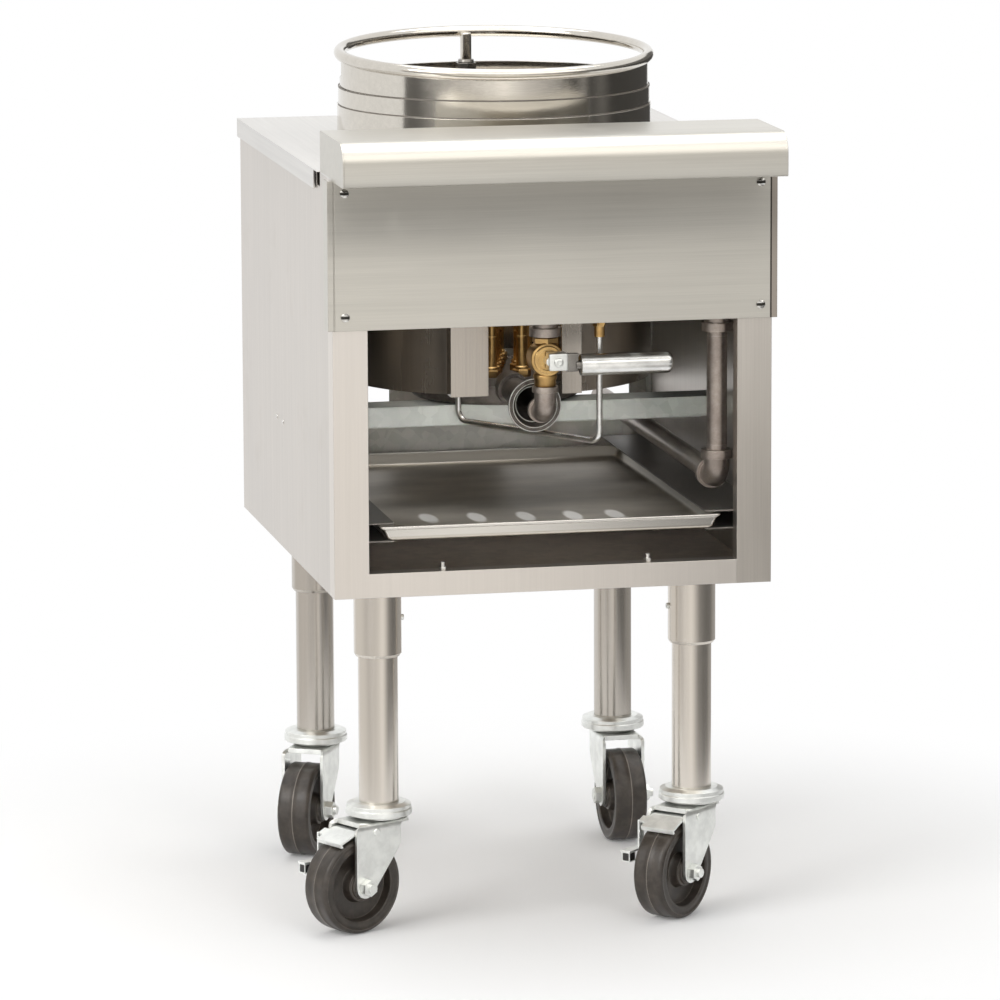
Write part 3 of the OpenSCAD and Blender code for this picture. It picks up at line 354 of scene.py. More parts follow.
# Painted shade: a dark band across each screw head of both rows, drawn as a slot.
panel_screws = plated("panel screws", (0.80, 0.79, 0.76), 0.10,
                      slot_shade_heights=(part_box("front_panel")[0][2] + 0.014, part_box("body_screws")[1][2] - 0.0045))
bright = plated("polished steel", (0.86, 0.86, 0.84), 0.14)
pipe_iron = iron("steel pipe", (0.235, 0.20, 0.178), (0.39, 0.34, 0.30), 0.22, 420.0, 0.00008, 0.9)
cast = iron("cast iron", (0.06, 0.052, 0.046), (0.13, 0.115, 0.10), 0.42, 260.0, 0.00040, 0.7)
yellow_brass = brass("turned brass", (0.66, 0.43, 0.17), (0.30, 0.17, 0.07))
wheel_stuff = composition("wheel composition", (0.028, 0.022, 0.017), (0.058, 0.047, 0.037),
                          (0.26, 0.225, 0.185), 0.27)
# The moulding line's lighter colour is a painted highlight along the tread's middle ridge.
line_highlight_stuff = composition("moulding line", (0.11, 0.095, 0.078), (0.18, 0.155, 0.13),
                         (0.30, 0.26, 0.22), 0.27)
rubber = composition("black rubber", (0.014, 0.013, 0.012), (0.026, 0.024, 0.022),
                     (0.05, 0.047, 0.044), 0.5)
# Painted shadow: this dark finish on the seam rings stands in for the shade where the chamber's rings lap.
seam_shadow_stuff = composition("seam", (0.10, 0.085, 0.07), (0.16, 0.14, 0.12), (0.2, 0.18, 0.15), 0.4)
zinc_sheet = galvanized("galvanized sheet", (0.42, 0.44, 0.415), (0.57, 0.595, 0.56), 0.7)
dull_sheet = galvanized("dull sheet", (0.36, 0.35, 0.32), (0.52, 0.505, 0.465), 0.7)
runner_sheet = galvanized("runner sheet", (0.13, 0.12, 0.11), (0.22, 0.205, 0.185), 0.8)
pan_sheet = galvanized("bottom sheet", (0.42, 0.365, 0.31), (0.60, 0.53, 0.455), 0.3)

FINISHES = [
    (shaded_front_steel, ["front_ledge"]),
    (shaded_panel_steel, ["front_panel"]),
    (side_steel, ["left_side_panel", "right_side_panel", "front_frame"]),
    (post_steel, ["right_post"]),
    (deck_steel, ["top_deck"]),
    (inner_steel, ["chamber_shell", "chamber_plates"]),
    (ring_steel, ["chamber_collar", "chamber_band", "ring_wall", "ring_wire"]),
    (tray_steel, ["drip_tray"]),
    (tube_steel, ["leg_tubes", "leg_sleeves"]),
    (zinc, ["leg_set_screws", "caster_races", "pipe_hangers", "ring_post", "valve_hub"]
     + [w + part for w in WHEELS for part in ("_fork", "_axle")]),
    (brake_zinc, [w + "_brake" for w in BRAKED]),
    (panel_screws, ["body_screws"]),
    (screw_steel, ["ring_post_nut"]),
    (bright, ["lever_grip", "pilot_tube"]),
    (pipe_iron, ["gas_inlet_pipe", "lower_elbow", "riser_pipe", "upper_elbow", "manifold_pipe",
                 "valve_elbow", "burner_elbow"]),
    (cast, ["burner_head", "burner_venturi"]),
    (yellow_brass, ["gas_valve", "burner_orifice", "burner_jets", "pilot_valve", "pilot_burner"]),
    (wheel_stuff, [w + "_wheel" for w in WHEELS]),
    (zinc_sheet, ["cross_rails"]),
    (runner_sheet, ["tray_runners"]),
    (dull_sheet, ["back_panel", "rear_posts"]),
    (pan_sheet, ["bottom_pan"]),
]
dressed = set()
for finish, names in FINISHES:
    for name in names:
        NODES[name].data.materials.clear()
        NODES[name].data.materials.append(finish)
        dressed.add(name)
assert dressed == set(NODES), sorted(set(NODES) - dressed)


# Pieces that are finer than their solids

# Each caster's wheel centre, its axle's direction, and the middle of its leg on the floor
JOINTS = {joint["name"]: joint for joint in frame["joints"]}
CASTERS = {w: {"wheel": np.array(JOINTS[w + "_roll"]["pos_m"]),
               "axle": np.array(JOINTS[w + "_roll"]["axis"], float),
               "leg": np.array(JOINTS[w + "_swivel"]["pos_m"]) * (1, 1, 0)} for w in WHEELS}


def piece(name, points, faces, finish, body, smooth):
    """A mesh at the origin that rides on a body; edges sharper than the angle stay crisp."""
    mesh = bpy.data.meshes.new(name)
    mesh.from_pydata(points.reshape(-1, 3).tolist(), [], faces)
    work = bmesh.new()
    work.from_mesh(mesh)
    bmesh.ops.remove_doubles(work, verts=work.verts, dist=1e-6)
    bmesh.ops.recalc_face_normals(work, faces=work.faces)
    work.to_mesh(mesh)
    work.free()
    mesh.polygons.foreach_set("use_smooth", np.ones(len(mesh.polygons), bool))
    mesh.set_sharp_from_angle(angle=np.radians(smooth))
    made = bpy.data.objects.new(name, mesh)
    bpy.context.scene.collection.objects.link(made)
    mesh.materials.append(finish)
    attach(made, body)
    return made


def grid_faces(rows, columns, first=0, row_loop=False, column_loop=False):
    """Quads between neighbouring points of a grid; a loop joins the last row or column to the first."""
    r = np.arange(rows if row_loop else rows - 1)[:, None]
    c = np.arange(columns if column_loop else columns - 1)[None, :]
    r2, c2 = (r + 1) % rows, (c + 1) % columns
    quads = np.stack(np.broadcast_arrays(r * columns + c, r * columns + c2,
                                         r2 * columns + c2, r2 * columns + c), -1)
    return (quads.reshape(-1, 4) + first).tolist()


def turned(profile, sides):
    """Points of a profile of (radius, height) turned once about Z: (r cos a, r sin a, h)."""
    profile = np.asarray(profile, float)
    a = np.linspace(0, 2 * np.pi, sides, endpoint=False)
    radius, height = profile[:, 0][None, :], profile[:, 1][None, :]
    c, s = np.cos(a)[:, None], np.sin(a)[:, None]
    return np.stack([radius * c, radius * s, height + 0 * c], -1)


def aimed(points, axis, where, turn=0.0):
    """Points drawn about Z, turned so that Z lies along the axis, and moved."""
    z = np.asarray(axis, float) / np.linalg.norm(axis)
    side = np.cross((0, 0, 1), z) if abs(z[2]) < 0.99 else np.array((1.0, 0, 0))
    x = side / np.linalg.norm(side)
    y = np.cross(z, x)
    c, s = np.cos(turn), np.sin(turn)
    return points @ np.array([x * c + y * s, y * c - x * s, z]) + np.asarray(where, float)


def lathe(name, profile, axis, where, finish, body, sides, closed=True, smooth=35.0):
    """One turned piece: a closed profile makes a ring, an open one starts and ends on the axis."""
    points = turned(profile, sides)
    faces = grid_faces(sides, len(profile), row_loop=True, column_loop=closed)
    return piece(name, aimed(points, axis, where), faces, finish, body, smooth)


def arc(centre, radius, start, stop, steps):
    """Points of a circle's arc, in degrees."""
    a = np.radians(np.linspace(start, stop, steps))
    return [(centre[0] + radius * np.cos(t), centre[1] + radius * np.sin(t)) for t in a]


def mm(*pairs):
    """A profile's (radius, height) pairs from millimetres to metres."""
    return np.array(pairs, float) / 1000


def wheel_profile():
    """Half of the wheel's section in (radius, distance from its middle plane), mirrored to a loop:
    bore, hub with a raised ring, dished web, rim with a shallow face, round shoulder, crowned
    tread with a moulding line around its middle."""
    half = ([(5.1, 19.8), (12.6, 19.8)] + arc((12.6, 18.6), 1.2, 80, 10, 4)
            + [(14.2, 16.8), (15.4, 16.4)] + arc((15.4, 15.4), 1.0, 80, 0, 4)
            + [(17.2, 9.0), (19.0, 7.0), (24.0, 6.2), (32.0, 6.2), (35.6, 7.4), (37.6, 13.4)]
            + arc((38.8, 15.4), 1.6, 180, 100, 5) + [(40.6, 17.2), (42.4, 16.8), (44.4, 16.8)]
            + arc((45.8, 13.0), 4.8, 82, 18, 8)
            + [(50.2, 11.0), (50.3, 6.0), (50.3, 2.2), (50.78, 1.3), (50.78, 0.0)])
    other = [(r, -x) for r, x in half[-2::-1]]
    return np.array(half + other) / 1000


def moulded_wheels():
    line = mm((50.2, -1.0), (50.79, -0.5), (50.79, 0.5), (50.2, 1.0))
    for name, place in CASTERS.items():
        wheel = lathe(name + "_moulded_wheel", wheel_profile(), place["axle"], place["wheel"],
                      wheel_stuff, name + "_wheel", 128)
        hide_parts(name + "_wheel")
        # The tread line's lighter finish is a painted highlight.
        lathe(name + "_tread_line", line, place["axle"], place["wheel"], line_highlight_stuff,
                      name + "_wheel", 128)


moulded_wheels()


# The front posts' face in Y and the cabinet's underside in Z, in millimetres
FRONT, UNDER = -282.5, 366.0


def at(x, back, up):
    """A place in metres from millimetres: across, behind the front posts, above the cabinet's
    underside."""
    return np.array([x, FRONT + back, UNDER + up]) / 1000


# Jets: a chamfered hexagon, a turned tube and an open tip, nineteen times

def jets():
    tube = mm((0, 8), (7.2, 8), (7.2, 11), (6.0, 12.2), (6.0, 44), (5.7, 44.4), (5.7, 46), (6.0, 46.4),
              (6.0, 58.5), (5.2, 61.4), (3.9, 63), (2.5, 63), (2.5, 57), (0, 57))
    nut = mm((0, 0), (9.3, 0), (10.0, 0.9), (10.0, 7.6), (9.0, 9.0), (0, 9.0))
    places = [(0.0, 0.0)]
    for count, radius, shift in ((6, 30.6, 0.25), (12, 63.0, 0.5)):
        a = 2 * np.pi * (np.arange(count) + shift) / count
        places += list(zip(radius * np.cos(a), radius * np.sin(a)))
    points, faces, first = [], [], 0
    for x, y in places:
        for profile, sides in ((tube, 24), (nut, 6)):
            points.append(turned(profile, sides).reshape(-1, 3) + at(x, 298 + y, 186))
            faces += grid_faces(sides, len(profile), first, row_loop=True)
            first += sides * len(profile)
    made = piece("brass_jets", np.concatenate(points), faces, yellow_brass, "cabinet", 30)
    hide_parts("burner_jets")


jets()


# Gas valve: boss, barrel and hexagon

def valve():
    centre = at(0, 42, 235)
    forward, upward = (0, -1, 0), (0, 0, 1)
    boss = [(0, -12), (16.2, -12), (17.5, -10.8), (17.5, 11.4)] + arc((15.4, 11.4), 2.1, 0, 80, 6) + [
        (15.2, 13.8), (14.7, 14.0), (14.4, 15.4), (13.6, 16.0), (11.0, 16.0), (10.4, 14.6), (0, 14.6)]
    barrel = [(6.2, -29), (10.4, -29), (11.1, -28.0), (11.2, -22.6), (11.9, -21.4), (12.4, -18.4),
              (11.9, -16.8), (10.8, -15.6), (10.8, 18.6), (10.4, 19.6), (10.4, 33.9), (6.2, 33.9)]
    made = lathe("valve_boss", mm(*boss), forward, centre, yellow_brass, "cabinet", 96, closed=False)
    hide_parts("gas_valve")
    lathe("valve_barrel", mm(*barrel), upward, centre, yellow_brass, "cabinet", 64)
    nut = mm((6.3, 15.5), (12.5, 15.5), (13.7, 16.4), (13.7, 21.0), (12.5, 21.9), (6.3, 21.9))
    points = aimed(turned(nut, 6), upward, centre, np.radians(30))
    piece("valve_hexagon", points, grid_faces(6, len(nut), row_loop=True, column_loop=True),
                  yellow_brass, "cabinet", 25)


valve()


# Pipe threads left showing beside the fittings

def thread(name, axis, start):
    """Ridges side by side: the radius swings by the thread's depth once every pitch."""
    radius, depth, pitch, turns, wall = 10.95, 0.5, 1.8, 3, 3
    h = np.arange(turns * 4 + 1) * pitch / 4
    r = radius - depth * (0.5 - 0.5 * np.cos(2 * np.pi * h / pitch))
    inner = radius - wall
    profile = np.concatenate([[(inner, 0)], np.stack([r, h], -1), [(inner, h[-1])]]) / 1000
    return lathe(name, profile, axis, start, pipe_iron, "cabinet", 48, smooth=60)


for name, axis, start in (("riser_low_thread", (0, 0, 1), at(181, 42, 134.2)),
                          ("riser_high_thread", (0, 0, -1), at(181, 42, 257.8)),
                          ("inlet_front_thread", (0, 1, 0), at(181, 70.2, 106)),
                          ("manifold_thread", (-1, 0, 0), at(152.8, 42, 286))):
    thread(name, axis, start)


# Pieces made of level loops: a rectangle with round corners at each height

def loops(rings, steps=6):
    """Points of rings (low x, high x, low y, high y, z, corner radius), each walked once around."""
    turn = np.linspace(0, np.pi / 2, steps)
    a = (turn[None, :] + np.arange(4)[:, None] * np.pi / 2).ravel()
    right, back = np.repeat([1, 0, 0, 1], steps), np.repeat([1, 1, 0, 0], steps)
    made = []
    for x0, x1, y0, y1, z, r in rings:
        x = np.where(right, x1 - r, x0 + r) + r * np.cos(a)
        y = np.where(back, y1 - r, y0 + r) + r * np.sin(a)
        made.append(np.stack([x, y, np.full_like(x, z)], -1))
    return np.array(made)


def rounded_block(name, low, high, r, finish, body, place):
    """A block whose every edge is a quarter circle: loops shrink by r (1 - cos t) near its ends."""
    steps = 5
    e = np.linspace(0, np.pi / 2, steps)
    middle = [(low[0] + high[0]) / 2] * 2 + [(low[1] + high[1]) / 2] * 2
    rings = [(*middle, low[2], 0)]
    lower = zip(e[::-1], low[2] + r * (1 - np.sin(e[::-1])))
    upper = zip(e, high[2] - r * (1 - np.sin(e)))
    for t, z in [*lower, *upper]:
        d = r * (1 - np.cos(t))
        rings.append((low[0] + d, high[0] - d, low[1] + d, high[1] - d, z, max(r - d, 0.02)))
    rings.append((*middle, high[2], 0))
    points = place(loops(rings, steps) / 1000)
    return piece(name, points, grid_faces(len(rings), 4 * steps, column_loop=True), finish, body, 40)


def drip_tray():
    """The tray: floor, bend, walls that lean at the sides, a bead along the rim, and back down inside.
    Each loop is d in from the outline and h up."""
    section = [(4.6, 0), (2.6, 0.5), (1.5, 1.7), (1.2, 3.4), (1.2, 11.2), (0.6, 11.7), (0.1, 12.6),
               (0.1, 13.9), (0.6, 14.7), (1.4, 15.0), (2.2, 14.7), (2.7, 13.9), (2.7, 12.4), (2.5, 3.8),
               (3.0, 2.4), (4.2, 1.7), (6.4, 1.5)]
    half_width, lean, tall, corner, sheet = 171, 9, 15, 5.0, 1.5
    front, rear, under = FRONT + 12, FRONT + 468, UNDER + 56
    middle = (0, 0, (front + rear) / 2, (front + rear) / 2)
    rings = [(*middle, under, 0)]
    for d, h in section:
        x = half_width + lean * h / tall - d
        rings.append((-x, x, front + d, rear - d, under + h, corner))
    rings.append((*middle, under + sheet, 0))
    points = loops(rings) / 1000
    made = piece("tray_pan", points, grid_faces(*points.shape[:2], column_loop=True), tray_steel,
                 "tray", 50)
    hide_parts("drip_tray")


drip_tray()


# Lever: a clamp block with softened edges, and a grip that is a tube with a domed end

def lever():
    hub, grip_start = at(0, 14, 235), at(30.5, 14, 231)
    sideways, forward, backward = (1, 0, 0), (0, -1, 0), (0, 1, 0)
    block = rounded_block("lever_clamp", (-3, -6, -9), (17, 11.6, 9), 1.6, zinc, "lever",
                          lambda q: q + hub)
    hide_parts("valve_hub")
    rounded_block("lever_neck", (15, -3, -10.5), (28.6, 3, 8.5), 1.3, screw_steel, "lever",
                          lambda q: q + hub)
    bolt = mm((0, 5.6), (4.6, 5.6), (4.9, 6.4), (4.6, 8.2), (3.6, 9.0), (2.2, 9.2), (2.0, 8.2), (0, 8.2))
    lathe("lever_bolt", bolt, forward, hub + (0.007, 0, 0), zinc, "lever", 32, closed=False)
    stem = mm((0, 26.0), (4.9, 26.0), (5.0, 25.0), (5.0, -2.0), (0, -2.0))
    lathe("lever_stem", stem, backward, hub, zinc, "lever", 32, closed=False)
    grip = [(0, 0), (9.6, 0), (10.9, 0.4), (11.25, 1.4), (11.25, 90.2),
            *arc((4.0, 90.2), 7.25, 8, 90, 9), (0, 97.9)]
    made = lathe("grip_tube", mm(*grip), sideways, grip_start, bright, "lever", 72, closed=False)
    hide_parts("lever_grip")
    plug = mm((0, -4.4), (5, -4.4), (5, 1), (0, 1))
    lathe("grip_plug", plug, sideways, grip_start, screw_steel, "lever", 32, closed=False)


lever()


# Ledge over the front panel: one bent sheet with an end plate at each side

def ledge_path(inset):
    """The sheet's line from hem to hem: foot, nose, wide bend, top, rear bend and rear foot. An inset
    of the sheet's thickness gives the line of its inside."""
    deep, tall, nose, fold = 131, 44.5, 23.0, 1.8
    small, rear = max(fold - inset, 0.4), deep - fold
    return ([(14, inset)] + arc((fold, fold), small, 270, 180, 4)
            + arc((nose, tall - nose), nose - inset, 180, 90, 16)
            + arc((rear, tall - fold), small, 90, 0, 4) + arc((rear, 4.3), small, 0, -90, 4)
            + [(117, 2.5 + inset)])


def front_ledge():
    thickness, half, half_with_ends = 1.5, 0.227, 0.2285
    outer, inner = ledge_path(0), ledge_path(thickness)
    start = at(0, -67, 0)[1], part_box("front_panel")[1][2]

    def along(section, xs):
        """The section's points in metres, once at each X."""
        flat = np.array(section) / 1000 + start
        return np.stack([np.column_stack([np.full(len(flat), x), flat]) for x in xs])

    sheet = outer + inner[::-1]
    made = piece("ledge_sheet", along(sheet, (-half, half)),
                 grid_faces(2, len(sheet), column_loop=True), shaded_front_steel, "cabinet", 30)
    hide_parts("front_ledge")
    plate = [(67, 0)] + outer[1:-1] + [(67, 2.5)]
    n = len(plate)
    faces = grid_faces(2, n, column_loop=True) + [list(range(n)), list(range(n, 2 * n))]
    for name, xs in (("left", (-half_with_ends, -half)), ("right", (half, half_with_ends))):
        piece(f"ledge_{name}_end", along(plate, xs), faces, shaded_front_steel, "cabinet", 30)


front_ledge()


# Rear post of the wok ring: a bar welded to the inside of the wire, and a lock ring over its nut

def ring_bar():
    low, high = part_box("ring_post")
    foot = ((low[0] + high[0]) / 2, (low[1] + high[1]) / 2, low[2])
    tall = 1000 * (high[2] - low[2])
    bar = mm((0, 0), (6.0, 0), (6.0, tall + 5.5), (5.2, tall + 6.5), (0, tall + 6.5))
    made = lathe("ring_bar", bar, (0, 0, 1), foot, ring_steel, "cabinet", 48, closed=False)
    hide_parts("ring_post")
    weld = mm((0, -2), (4.4, -2), (4.4, 12.5), (0, 12.5))
    top = (foot[0], foot[1], high[2] + 0.0012)
    lathe("ring_bar_weld", weld, (0, 1, 0), top, ring_steel, "cabinet", 24, closed=False)
    collar = mm((5.5, 8.5), (8.2, 8.5), (8.8, 9.2), (8.2, 12.0), (5.5, 12.0))
    lathe("ring_bar_collar", collar, (0, 0, 1), foot, screw_steel, "cabinet", 32)


ring_bar()


# Painted shadows: dark rings put where the chamber's rings lap, in place of the shade in those seams

def seam_shadows():
    low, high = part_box("chamber_band")
    radius, x, y = 500 * (high[0] - low[0]), (low[0] + high[0]) / 2, (low[1] + high[1]) / 2
    line = mm((radius - 1.0, 0.05), (radius - 1.0, 0.5), (radius + 0.1, 0.4), (radius + 0.1, -0.9),
              (radius - 0.1, -1.0))
    for name, z in (("upper_seam_shadow", high[2]), ("lower_seam_shadow", low[2] + 0.0009)):
        lathe(name, line, (0, 0, 1), (x, y, z), seam_shadow_stuff, "cabinet", 160)


seam_shadows()


# Turned beads around the mouth of the mixing tube, in bright zinc: their colour is a painted highlight
# along the bell's rims

def bell_bead_highlights():
    for name, radius, depth, thick in (("bell_outer_bead", 27.3, 0.9, 0.55),
                                       ("bell_mouth_bead", 23.2, 0.3, 0.5),
                                       ("bell_throat_bead", 18.6, 11.0, 0.8)):
        bead = mm(*[(radius + thick * c, depth + thick * s) for c, s in arc((0, 0), 1, 0, 315, 8)])
        lathe(name, bead, (0, 1, 0), at(0, 92, 178), zinc, "cabinet", 96)


bell_bead_highlights()


# Caster forks: one pressed sheet, two legs bent down from a crown

def on_caster(name, points):
    """Points in millimetres, drawn with the wheel towards -Y, moved to where this caster stands."""
    leg, across = CASTERS[name]["leg"], CASTERS[name]["axle"]
    turn = np.array([across, (-across[1], across[0], 0), (0, 0, 1)])
    return leg + points @ turn / 1000


def fork(name):
    """A sheet over (s, t): s runs from the foot of one leg over the crown to the other foot, t from the
    front edge to the rear one. The foot is a circle around the axle, the leg widens to the crown, and
    the crown is as deep behind as a disc of 30 mm radius around the kingpin."""
    axle, trail, boss, bend_low, crown, thickness = 50.8, 36.0, 12.0, 112.0, 117.5, 5.0
    outside, inside, out_bend, in_bend, disc = 23.7, 20.2, 5.5, 0.5, 30
    a = np.radians([0, 14, 28, 40, 52.2])
    z = np.concatenate([axle - boss * np.cos(a), np.linspace(45.5, 110.0, 12)])
    level = np.minimum(z, axle)
    front = -trail - np.sqrt(np.maximum(boss ** 2 - (level - axle) ** 2, 0))
    rear = np.where(z <= 43.5, -trail + np.sqrt(np.maximum(boss ** 2 - (z - axle) ** 2, 0)),
                    np.minimum(-26.52 + (z - 43.45) * 0.7762, 10.0))
    bend = np.radians([15, 35, 55, 75, 90])
    flat = np.array([-15.0, -11.0, -6.0, 0.0])
    x_out = np.concatenate([0 * z - outside, out_bend * (1 - np.cos(bend)) - outside, flat])
    z_out = np.concatenate([z, bend_low + out_bend * np.sin(bend), 0 * flat + crown])
    x_in = np.concatenate([0 * z - inside, in_bend * (1 - np.cos(bend)) - inside, flat])
    z_in = np.concatenate([z, bend_low + in_bend * np.sin(bend), 0 * flat + crown - thickness])
    ease = np.array([0.12, 0.35, 0.65, 0.9, 1.0])
    front = np.concatenate([front, -48 + 8 * ease, 0 * flat - 40])
    rear = np.concatenate([rear, 10 + 13.9 * ease, np.sqrt(disc ** 2 - flat ** 2)])
    t = np.linspace(0, 1, 7)[None, :]
    y = front[:, None] + (rear - front)[:, None] * t
    half = [np.stack([x[:, None] + 0 * y, y, h[:, None] + 0 * y], -1)
            for x, h in ((x_out, z_out), (x_in, z_in))]
    outer, inner = [np.concatenate([side, side[-2::-1] * (-1, 1, 1)]) for side in half]
    rows, columns = outer.shape[:2]
    count = rows * columns
    faces = grid_faces(rows, columns) + grid_faces(rows, columns, count)
    r = np.arange(rows - 1) * columns
    for c in (0, columns - 1):
        faces += np.stack([r + c, r + columns + c, r + columns + c + count, r + c + count], -1).tolist()
    points = on_caster(name, np.concatenate([outer, inner]))
    made = piece(name + "_pressed_fork", points, faces, zinc, name + "_caster", 35)
    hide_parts(name + "_fork")
    if name in BRAKED:
        head = [(0, 25.3), (3.2, 25.3), (4.2, 24.6), (4.4, 23.8), (2.5, 23.7)]
        pin = mm(*[(r, -h) for r, h in head], *head[::-1])
        lathe(name + "_brake_pin", pin, CASTERS[name]["axle"],
                      on_caster(name, np.array([0, -22.0, 107.3])), zinc, name + "_caster", 24,
                      closed=False)


for name in CASTERS:
    fork(name)


# Rubber pads on the brakes' pedals

def brake_pads():
    for name in BRAKED:
        pad = rounded_block(name + "_brake_pad", (-36.95, -77.25, 62.05), (-26.95, -65.75, 72.6), 2.2,
                            rubber, name + "_brake", lambda q: on_caster(name, q * 1000))


brake_pads()


# Studio

WHITE, WARM_WHITE = (1, 1, 1, 1), (1, 0.97, 0.93, 1)

# The share of its strength at which the world lights what isn't shiny
SKY_LIGHT = 0.42


def lamp(name, where, towards, size, power):
    """A rectangle of white light that faces a point."""
    data = bpy.data.lights.new(name, "AREA")
    data.shape, data.size, data.size_y = "RECTANGLE", *size
    data.energy = power
    made = bpy.data.objects.new(name, data)
    bpy.context.scene.collection.objects.link(made)
    aim = (Vector(towards) - Vector(where)).normalized()
    made.matrix_world = Matrix.Translation(where) @ aim.to_track_quat("-Z", "Y").to_matrix().to_4x4()
    return made


lamp("left softbox", (-2.6, -1.6, 1.9), (0, 0, 0.5), (1.8, 2.0), 50)
lamp("front softbox", (0.9, -3.4, 1.6), (0, 0, 0.5), (1.6, 1.6), 30)
lamp("low softbox", (-2.3, -2.3, 0.6), (0.05, -0.05, 0.52), (1.0, 0.7), 16)
lamp("top softbox", (0.1, 0.2, 2.9), (0, 0, 0.6), (2.2, 2.2), 36)
fill = lamp("fill light", (-0.6, -2.8, 0.85), (0, -0.05, 0.47), (0.4, 0.4), 0.8)
fill.visible_glossy = False
fill.data.spread = np.radians(16)


def make_world():
    """White all round: at full strength where it is seen or mirrored, and weaker as a source of light."""
    world = bpy.data.worlds.new("studio")
    bpy.context.scene.world = world
    nodes = Nodes(world)
    sky = nodes.tree.nodes["Background"]
    sky.inputs["Color"].default_value = WHITE
    strength = nodes.node("ShaderNodeMapRange", {}, {"Value": nodes.seen_or_mirrored(),
                                                     "To Min": SKY_LIGHT, "To Max": 1.0})
    nodes.tree.links.new(strength.socket, sky.inputs["Strength"])


make_world()


def bare_material(name, build):
    """A material whose surface is the shader that build makes of its nodes."""
    made = bpy.data.materials.new(name)
    nodes = Nodes(made)
    nodes.tree.nodes.clear()
    nodes.add("ShaderNodeOutputMaterial", {}, {"Surface": build(nodes)})
    return made


def on_stage(mesh, material):
    """An object of the studio, which isn't part of the range."""
    mesh.materials.append(material)
    made = bpy.data.objects.new(mesh.name, mesh)
    bpy.context.scene.collection.objects.link(made)
    return made


def only_mirrored(mesh, grey):
    """Puts a card in the studio that only mirrors see, with a level of grey for each of its corners."""
    level = mesh.attributes.new("level", "FLOAT", "POINT")
    level.data.foreach_set("value", grey + np.zeros(len(mesh.vertices)))

    def paint(nodes):
        strength = nodes.node("ShaderNodeAttribute", {"attribute_name": "level"}, out="Fac")
        return nodes.node("ShaderNodeEmission", {}, {"Color": WARM_WHITE, "Strength": strength})

    made = on_stage(mesh, bare_material(mesh.name, paint))
    made.visible_camera = made.visible_diffuse = made.visible_shadow = made.visible_transmission = False


def card(name, low, high, radius, *shape):
    """A curved card. Its shape is pairs of an azimuth from the front, in degrees, and a level of grey."""
    azimuth, grey = np.array(shape).T
    every = 2
    steps = np.linspace(azimuth[0], azimuth[-1], 1 + int((azimuth[-1] - azimuth[0]) / every))
    a = np.radians(steps)
    wall = np.stack([radius * np.sin(a), -radius * np.cos(a), 0 * a], -1)
    points = np.concatenate([wall + (0, 0, low), wall + (0, 0, high)])
    mesh = bpy.data.meshes.new(name)
    mesh.from_pydata(points.tolist(), [], grid_faces(2, len(a)))
    only_mirrored(mesh, np.tile(np.interp(steps, azimuth, grey), 2))


# The heights where the far cards meet and where the upper one ends, and the cards' distances
MIDDLE_LOW, MIDDLE_HIGH, TOP = 0.9, 1.9, 5.0
FAR, NEAR = 3.1, 0.85

card("surround", 0.0, MIDDLE_LOW, FAR, (-80, 0.15), (-68, 0.13), (-62, 0.2), (-4, 1.25), (12, 0.76),
     (37, 0.42), (42, 0.2), (50, 0.1), (57, 0.3), (63, 0.08), (74, 0.16), (84, 0.06), (152, 0.08))
card("high surround", MIDDLE_LOW, MIDDLE_HIGH, FAR, (-80, 0.75), (-4, 0.9), (37, 0.5), (60, 0.2),
     (152, 0.15))
card("low surround", 0.0, 0.42, NEAR, (-130, 0.8), (-95, 0.84), (-75, 0.78), (-56, 0.6), (-44, 0.62),
     (-20, 0.78), (-2, 1.0), (8, 0.86), (18, 0.56), (30, 0.28), (54, 0.18), (75, 0.2), (95, 0.4),
     (150, 0.5))
card("upper card", MIDDLE_HIGH, TOP, FAR, (-70, 1.9), (60, 1.9))


def one_face(name, corners):
    mesh = bpy.data.meshes.new(name)
    mesh.from_pydata(corners, [], [(0, 1, 2, 3)])
    return mesh


def shade_card():
    """A grey flag close in front, which the front panel mirrors just below its ledge."""
    left, right, low, high, y, grey = -0.235, 0.265, 0.714, 0.772, -0.40, 0.32
    corners = [(left, y, low), (right, y, low), (right, y, high), (left, y, high)]
    only_mirrored(one_face("shade card", corners), grey)


shade_card()


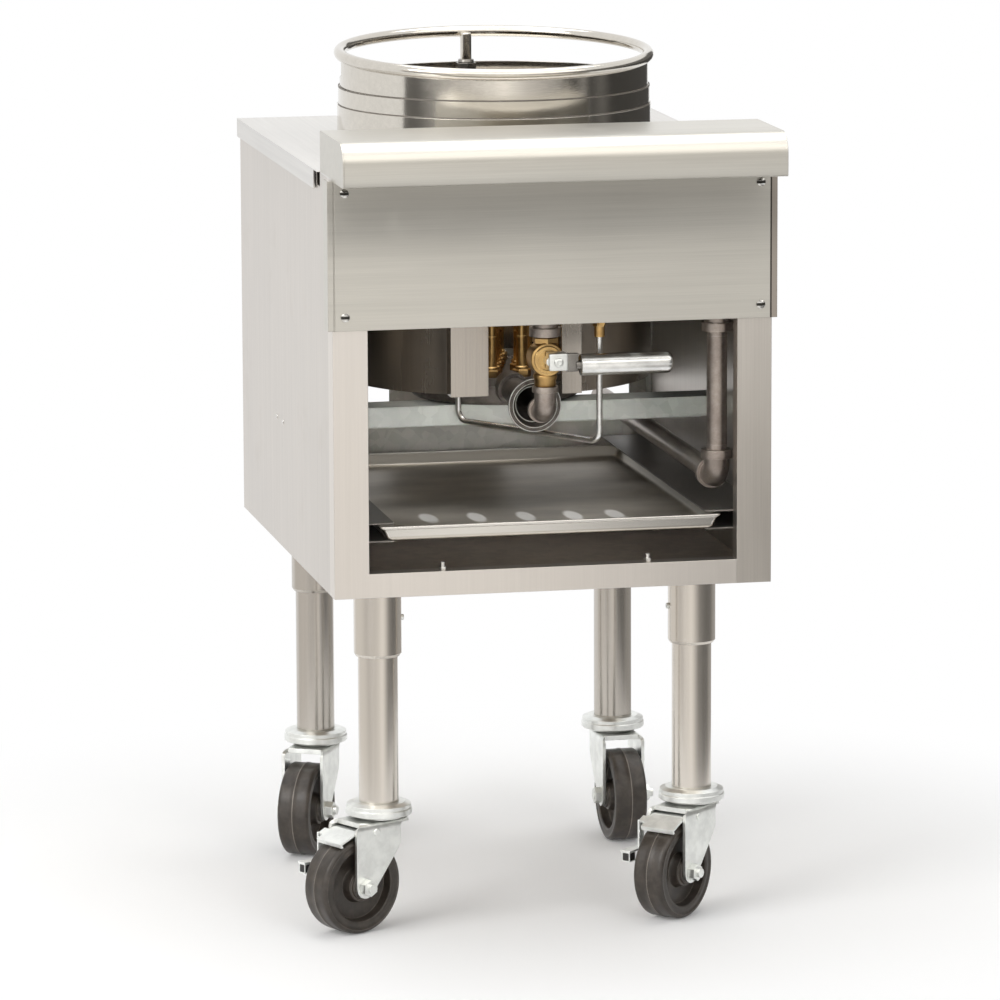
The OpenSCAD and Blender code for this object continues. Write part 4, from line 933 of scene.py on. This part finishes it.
def make_floor():
    """A large pale floor. It keeps the shadow near the object and fades to plain white away from it;
    the share of its own light is only for rays from the camera and from mirrors."""
    reach, own_light, fade_start, fade_end = 40, 0.07, 0.42, 0.9

    def paint(nodes):
        matt = nodes.node("ShaderNodeBsdfDiffuse", {}, {"Color": (0.92, 0.918, 0.912, 1)})
        white = nodes.node("ShaderNodeEmission", {}, {"Color": WHITE})
        seen = nodes.seen_or_mirrored()
        lift = nodes.node("ShaderNodeEmission", {}, {"Color": WHITE, "Strength": seen * own_light})
        near = nodes.node("ShaderNodeAddShader", {}, {0: matt, 1: lift})
        place = nodes.node("ShaderNodeTexCoord", out="Object")
        away = nodes.node("ShaderNodeVectorMath", {"operation": "LENGTH"}, {0: place}, "Value")
        far = away.between(fade_start, fade_end) * seen
        return nodes.node("ShaderNodeMixShader", {}, {0: far, 1: near, 2: white})

    corners = [(-reach, -reach, 0), (reach, -reach, 0), (reach, reach, 0), (-reach, reach, 0)]
    on_stage(one_face("floor", corners), bare_material("pale floor", paint))


make_floor()


# Camera, fitted to the photograph

def place_camera():
    """The camera looks from this azimuth, elevation and distance at a point of the front, and is
    rolled a little."""
    azimuth, elevation, roll = np.radians([-11.64, 9.83, -0.22])
    distance, target = 6.4177, np.array([-0.05645, -0.2825, 0.4625])
    back = np.array([np.sin(azimuth) * np.cos(elevation), -np.cos(azimuth) * np.cos(elevation),
                     np.sin(elevation)])
    level = np.array([np.cos(azimuth), np.sin(azimuth), 0])
    upward = np.cross(back, level)
    right = level * np.cos(roll) + upward * np.sin(roll)
    up = upward * np.cos(roll) - level * np.sin(roll)
    eye = target + back * distance
    data = bpy.data.cameras.new("camera")
    data.sensor_width, data.lens, data.clip_end = 36, 226.4, 200
    made = bpy.data.objects.new("camera", data)
    bpy.context.scene.collection.objects.link(made)
    turn = np.column_stack([right, up, back, eye])
    made.matrix_world = Matrix([*turn.tolist(), [0, 0, 0, 1]])
    bpy.context.scene.camera = made


place_camera()
bpy.context.scene.view_settings.view_transform = "Standard"
